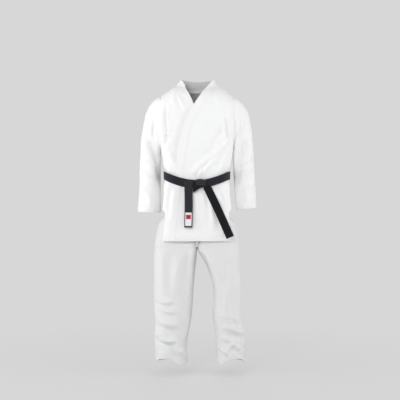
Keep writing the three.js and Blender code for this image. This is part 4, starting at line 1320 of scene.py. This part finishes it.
# The right end has the painted-highlight colour, the left end the painted-shade colour.
right_tail = make_tail("right", right_path, TAIL_RIGHT, 0.10, SATIN_PAINTED_HIGHLIGHT)
make_tail("left", left_path, TAIL_LEFT, -0.16, SATIN_PAINTED_SHADE)


# %% Label finish
LABEL_START, LABEL_LENGTH, LABEL_WIDTH = 0.68, 70, 36
LABEL_BORDER, LABEL_INSIDE, BAR_MIDDLE, BAR_HALF = 2.2, 6, 22, 11
RED, NAVY = (0.45, 0.02, 0.05, 1), (0.02, 0.03, 0.12, 1)


def label_look():
    """A woven label, laid out by the cloth's flat map: dark where the nearest edge is closer than the
    border's width, and red where the middle of the bar is closer than half its width."""
    look = cloth_look("woven label", (0.86, 0.82, 0.84), (0.7, 0.68, 0.7), 1500, 0.3, 0.4, 0.1, 0.45)
    tree = look.node_tree
    skin = tree.nodes["Principled BSDF"]
    base = skin.inputs["Base Color"].links[0].from_socket
    chart = tree.nodes.new("ShaderNodeUVMap")
    chart.uv_map = "cloth"
    split = tree.nodes.new("ShaderNodeSeparateXYZ")
    tree.links.new(chart.outputs["UV"], split.inputs[0])
    across, down = split.outputs["X"], split.outputs["Y"]
    inset = sum_node(tree, "MINIMUM", across, sum_node(tree, "SUBTRACT", LABEL_WIDTH * MM, across))
    inset = sum_node(tree, "MINIMUM", inset, sum_node(tree, "SUBTRACT", LABEL_LENGTH * MM, down))
    border = sum_node(tree, "LESS_THAN", inset, LABEL_BORDER * MM)
    from_bar = sum_node(tree, "ABSOLUTE", sum_node(tree, "SUBTRACT", down, BAR_MIDDLE * MM))
    bar = sum_node(tree, "LESS_THAN", from_bar, BAR_HALF * MM)
    inside = sum_node(tree, "GREATER_THAN", inset, LABEL_INSIDE * MM)
    bar = sum_node(tree, "MULTIPLY", bar, inside)
    for mask, colour in ((bar, RED), (border, NAVY)):
        layer = colour_mix(tree, mask, base)
        layer.inputs["B"].default_value = colour
        base = layer.outputs["Result"]
    tree.links.new(base, skin.inputs["Base Color"])
    return look


# %% Label
def make_label():
    """The label: a piece of the right end's own grid, flat across and a little in front of it."""
    first = int(len(right_tail) * LABEL_START)
    last = first + int(LABEL_LENGTH / TAIL_STEP)
    patch = right_tail[first:last, 2:BELT_COLUMNS - 2].copy()
    patch[..., 1] = patch[..., 1].min(axis=1, keepdims=True) - 0.9
    piece = wall("belt_patch", patch, 0.7, label_look())
    hang(piece, "right_tail", ["belt_label"])


make_label()


# %% Knot
def knot_part(name, top, bottom, out, arch, bend, node, look, columns=72, rows=54):
    """A fold of the belt: straight lines between an upper and a lower curve, domed between its edges and
    arched along its run, each by the root of one less a power of the distance from its middle."""
    u, v = np.meshgrid(np.linspace(0, 1, columns), np.linspace(0, 1, rows))
    upper = curve_through([(x, 0, z) for x, z in top], u)
    lower = curve_through([(x, 0, z) for x, z in bottom], u)
    points = mix(upper, lower, v[..., None])
    dome = (1 - np.abs(2 * v - 1) ** 3.5) ** 0.5
    hump = (1 - np.abs(2 * u - 1) ** bend) ** 0.5
    span = np.linalg.norm(upper - lower, axis=-1)
    distance = v * span
    rows_at = [share * BELT_WIDTH for share in np.linspace(0.06, 0.94, 9)]
    quilt = grooves(distance * BELT_WIDTH / span, rows_at, 0.9, 0.55)
    points[..., 1] = KNOT_BACK - out * (0.35 + 0.65 * dome) - arch * hump - quilt
    wear_and_shade = 1 - smooth(np.minimum(v, 1 - v), 0.02, 0.1)
    piece = wall(name, points, BELT_THICK - 0.4, look, wear_and_shade=wear_and_shade)
    hang(piece, "uniform", [node])


KNOT_BACK = float(body_at(0.0, BELT_FRONT, OUTER_WRAP - GAP)[..., 1])
# The knot's fold has the painted-shade colour and its strap the painted-highlight colour.
knot_part(
    "knot_fold", [(-23, -487), (4, -484), (43, -488)], [(-20, -547), (14, -524), (46, -508)],
    5.5, 4.5, 6, "belt_knot_core", SATIN_PAINTED_SHADE)
knot_part(
    "knot_strap", [(-4, -477), (20, -475), (47, -480)], [(-2, -506), (20, -507), (43, -508)],
    12.5, 6.0, 2.4, "belt_knot_loop", SATIN_PAINTED_HIGHLIGHT)

# %% [markdown]
# ## What lies inside
# A finished garment has cloth that hardly shows: turned-up hems, a second layer in the shoulders, patches
# above the vents, the waistband with its elastic, the ties that hold the wrap shut and the diamond
# between the legs. Most are copies of their panel's own surface, a little below it, so they follow every
# fold of it.


# %% Linings
def lining(name, source, rows, below, thick, body, node,
           material=CANVAS, looped=False):
    """A layer inside a panel: the panel's chosen rows, moved in along its normals."""
    points, normal = GRIDS[source]
    layer = points[rows] - normal[rows] * below
    piece = wall(name, layer, thick, material, looped=looped)
    hang(piece, body, [node])


HEM_ROWS, CUFF_ROWS, TROUSER_ROWS = slice(-20, -1), slice(-25, -1), slice(-27, -1)
for word in SIDES:
    lining(f"turned_hem_{word}", f"front_panel_{word}", HEM_ROWS, 2.2, 1.2, "uniform", f"hem_facing_{word}")
    lining(f"cuff_lining_{word}", f"sleeve_cloth_{word}", CUFF_ROWS, 2.1, 1.2, f"{word}_sleeve",
           f"cuff_facing_{word}", looped=True)
    lining(f"turned_trouser_hem_{word}", f"trouser_leg_{word}", TROUSER_ROWS, 1.8, 1.1, f"{word}_leg",
           f"trouser_hem_{word}", material=TWILL, looped=True)
lining("turned_hem_back", "back_panel", HEM_ROWS, 2.2, 1.2, "uniform", "hem_facing_back")


# %% Shoulder linings and vent patches
SHOULDER_BELOW, SHOULDER_REACH, VENT_BELOW, VENT_PATCH_HEIGHT = 3.1, 60, 2.6, 30


def make_shoulder_lining(word):
    """A second layer over the shoulder, hanging down in front and behind by the square of the share."""
    side = SIDES[word]
    u, along = np.meshgrid(np.linspace(0, 1, 40), np.linspace(-1, 1, 61))
    x = side * mix(NECK_EDGE + 14, SHOULDER_HALF - 6, u)
    z = shoulder_line(x) - SHOULDER_REACH * along ** 2
    behind, before = (body_at(x, z, SHOULDER_BELOW, face) for face in (BACK, FRONT))
    points = np.where((along > 0)[..., None], behind, before)
    points[..., 1] = np.where(along == 0, 0, points[..., 1])
    piece = wall(f"shoulder_layer_{word}", points, 1.2, CANVAS)
    hang(piece, "uniform", [f"shoulder_lining_{word}"])


def make_vent_patch(word):
    """A patch above the vent: the body's section on both sides of the side seam, just below the cloth."""
    side = SIDES[word]
    u, v = np.meshgrid(np.linspace(-1, 1, 31), np.linspace(0, 1, 21))
    z = mix(VENT_TOP_Z + VENT_PATCH_HEIGHT, VENT_TOP_Z, v)
    q = side * (3 - 0.45 * np.abs(u))
    behind, before = (body_section(q, face, z, VENT_BELOW) for face in (BACK, FRONT))
    points = np.where((u > 0)[..., None], behind, before)
    piece = wall(f"vent_reinforcement_{word}", points, 1.2, CANVAS_BAND)
    hang(piece, "uniform", [f"vent_patch_{word}"])


for word in SIDES:
    make_shoulder_lining(word)
    make_vent_patch(word)


# %% Waistband
PLEATS = 90


def waist_ring(name, near, thick, margin, material, node, gather):
    """A ring of the trouser waist, gathered by the elastic into pleats that are a sine round it."""
    heights = mix(WAISTBAND_TOP_Z - margin, TROUSER_TOP_Z + margin, np.linspace(0, 1, 17))
    u, z = np.meshgrid(np.arange(300) / 300, heights)
    q, face = ring_place(u)
    width, depth, corner = (through(WAIST_STOPS, z, k) - near for k in (1, 2, 3))
    x, y = section(q, 1, width, depth, corner)
    points = np.stack([x, face * y, z], -1)
    normal = outward_normals(points, looped=True)[0]
    pleat = gather * np.sin(2 * np.pi * u * PLEATS)
    piece = wall(name, points + normal * pleat[..., None], thick, material, looped=True)
    hang(piece, "uniform", [node])


waist_ring("gathered_waistband", 0, 1.3, 0, TWILL, "waistband", 0.5)
waist_ring("waist_tape", 2.6, 1.2, 5, RUBBER_TAPE, "waist_elastic", 0.0)
waist_ring("waistband_inside", 4.6, 1.3, 0, TWILL, "waistband_lining", 0.3)


# %% Ties and gusset
TIE_WIDTH = 20


def make_tie(name, from_q, to_q, near):
    """A tie: a strip along the belt line between two section positions, domed by a cosine."""
    u, across = np.meshgrid(np.linspace(from_q, to_q, 70), np.linspace(-0.5, 0.5, 17))
    z = belt_height(u, FRONT) - across * TIE_WIDTH
    points = body_section(u, FRONT, z, near)
    points[..., 1] -= 0.4 * np.cos(np.pi * across)
    piece = wall(f"{name}_tape", points, 1.0, CANVAS_BAND)
    hang(piece, "uniform", [name])


make_tie("tie_outer_front", -0.9, -1.6, TIE_NEAR)
make_tie("tie_outer_side", -2.05, -2.9, TIE_NEAR)
make_tie("tie_inner_front", 0.5, 1.4, UNDER + 3.3)
make_tie("tie_inner_side", 2.05, 2.9, 2.4)


def make_gusset():
    """A diamond between the legs: a square grid with its corners on the outline's four points."""
    half_width, half_length = 14, SEAT_DEPTH * (1 - CROTCH_DIP) + 2
    u, v = np.meshgrid(np.linspace(0, 1, 25), np.linspace(0, 1, 61))
    x = half_width * (u - v)
    y = half_length * (u + v - 1)
    sag = 1.5 * np.sin(np.pi * u) * np.sin(np.pi * v)
    points = np.stack([x, y, CROTCH_Z - 2 - sag], -1)
    piece = wall("crotch_diamond", points, COTTON, TWILL)
    FLAT["crotch_diamond"] = (2 * half_width, 2 * half_length, FLAT["crotch_diamond"][2])
    hang(piece, "uniform", ["crotch_gusset"])


make_gusset()


# %% Rise seams
RISE_HALF, RISE_PROUD = 8, 1.2


def make_rise_seam(name, face):
    """The felled seam of the seat: a narrow strip up the middle, on the deepest line of both legs."""
    across, z = np.meshgrid(np.linspace(-1, 1, 15), np.linspace(-500, CROTCH_Z - 10, 110))
    edge = leg_points(1, np.full_like(z, 0.25), z)[..., 1]
    dip = 1 - CROTCH_DIP * smooth(-z, 600, -CROTCH_Z)
    depth = np.abs(edge) * dip + RISE_PROUD - 3.2 * np.abs(across) ** 3
    tuck = 14 * smooth(-z, -CROTCH_Z - 30, -CROTCH_Z + 10) ** 2
    points = np.stack([across * RISE_HALF, face * (depth - tuck), z], -1)
    piece = wall(name, points, COTTON, TWILL)
    hang(piece, "uniform", [])


make_rise_seam("rise_seam_front", FRONT)
make_rise_seam("rise_seam_back", BACK)

# %% [markdown]
# ## Stitches
# Rows of thread hold every hem and quilt the band. Each stitch is a tiny closed bead that rises out of
# its groove and dips back at both ends. A row follows one line of the panel's grid, so it keeps to every
# fold.

# %% Stitch maker
STITCH_LENGTH, STITCH_PITCH, STITCH_RADIUS = 3.4, 5.2, 0.42


def stitch_row(line, normal, closed=False):
    """Places along a line at even pitch: centre, direction and normal of every stitch."""
    if closed:
        line = np.concatenate([line, line[:1]])
        normal = np.concatenate([normal, normal[:1]])
    run = np.concatenate([[0], np.cumsum(np.linalg.norm(np.diff(line, axis=0), axis=-1))])
    at = np.arange(STITCH_PITCH / 2, run[-1] - STITCH_PITCH / 2, STITCH_PITCH)

    def read(values, where):
        """Values along the line, by straight lines between its points."""
        return np.stack([np.interp(where, run, values[:, k]) for k in range(3)], -1)

    centre, upward = read(line, at), read(normal, at)
    along = read(line, at + 0.6) - read(line, at - 0.6)
    return centre, along / np.linalg.norm(along, axis=-1, keepdims=True), upward


def sew(name, rows, body):
    """One mesh of stitches: each is a four-sided spindle of five rings, closed at both ends."""
    centre, along, upward = (np.concatenate(part) for part in zip(*rows))
    across = np.cross(along, upward)
    station = np.array([-1, -0.62, 0, 0.62, 1]) * STITCH_LENGTH / 2
    girth = np.array([0.3, 0.9, 1, 0.9, 0.3]) * STITCH_RADIUS
    rise = np.array([-0.25, 0.1, 0.3, 0.1, -0.25])
    angle = np.arange(4) * np.pi / 2
    ring_across, ring_up = np.cos(angle), np.sin(angle)
    points = (
        centre[:, None, None]
        + along[:, None, None] * station[None, :, None, None]
        + across[:, None, None] * (girth[:, None] * ring_across)[None, :, :, None]
        + upward[:, None, None] * (rise[:, None] + girth[:, None] * ring_up)[None, :, :, None])
    k = np.arange(4)
    sides = [np.stack([s * 4 + k, (s + 1) * 4 + k, (s + 1) * 4 + (k + 1) % 4, s * 4 + (k + 1) % 4], -1)
             for s in range(4)]
    caps = [np.array([[0, 1, 2, 3]]), np.array([[19, 18, 17, 16]])]
    one = np.concatenate(sides + caps)
    if np.dot(np.cross(points[0, 0, 1] - points[0, 0, 0], points[0, 0, 2] - points[0, 0, 1]), along[0]) > 0:
        one = one[:, ::-1]
    quads = (one[None] + 20 * np.arange(len(centre))[:, None, None]).reshape(-1, 4)
    piece = mesh_from(name, points.reshape(-1, 3), quads, material=THREAD)
    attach(piece, body)
    print(f"{name}: {len(centre)} stitches")


def grid_row(source, row, closed=False):
    """Stitch places along one row of a panel's grid."""
    points, normal = GRIDS[source]
    return stitch_row(points[row], normal[row], closed)


# %% Rows of a hem
def hem_row(distance, step):
    """Index, from the end, of the grid row that lies nearest a distance from the hem."""
    return -1 - round(distance / step)


# %% Stitches in place
band_points, band_normals = GRIDS["quilted_band"]
band_columns = [round(at / LAPEL_WIDTH * (BAND_COLUMNS - 1)) for at in BAND_ROWS]
sew("band_stitches", [stitch_row(band_points[:, k], band_normals[:, k]) for k in band_columns], "uniform")
sew("jacket_hem_stitches", [
    grid_row(source, hem_row(at, HEM_STEP)) for at in HEM_STITCHES
    for source in ("front_panel_left", "front_panel_right", "back_panel")], "uniform")
for word in SIDES:
    cuff_rows = [hem_row(at, CUFF_STEP) for at in CUFF_STITCHES]
    leg_rows = [hem_row(at, TROUSER_STEP) for at in TROUSER_STITCHES]
    sleeve, leg = f"sleeve_cloth_{word}", f"trouser_leg_{word}"
    sew(f"cuff_stitches_{word}", [grid_row(sleeve, row, True) for row in cuff_rows], f"{word}_sleeve")
    sew(f"trouser_stitches_{word}", [grid_row(leg, row, True) for row in leg_rows], f"{word}_leg")
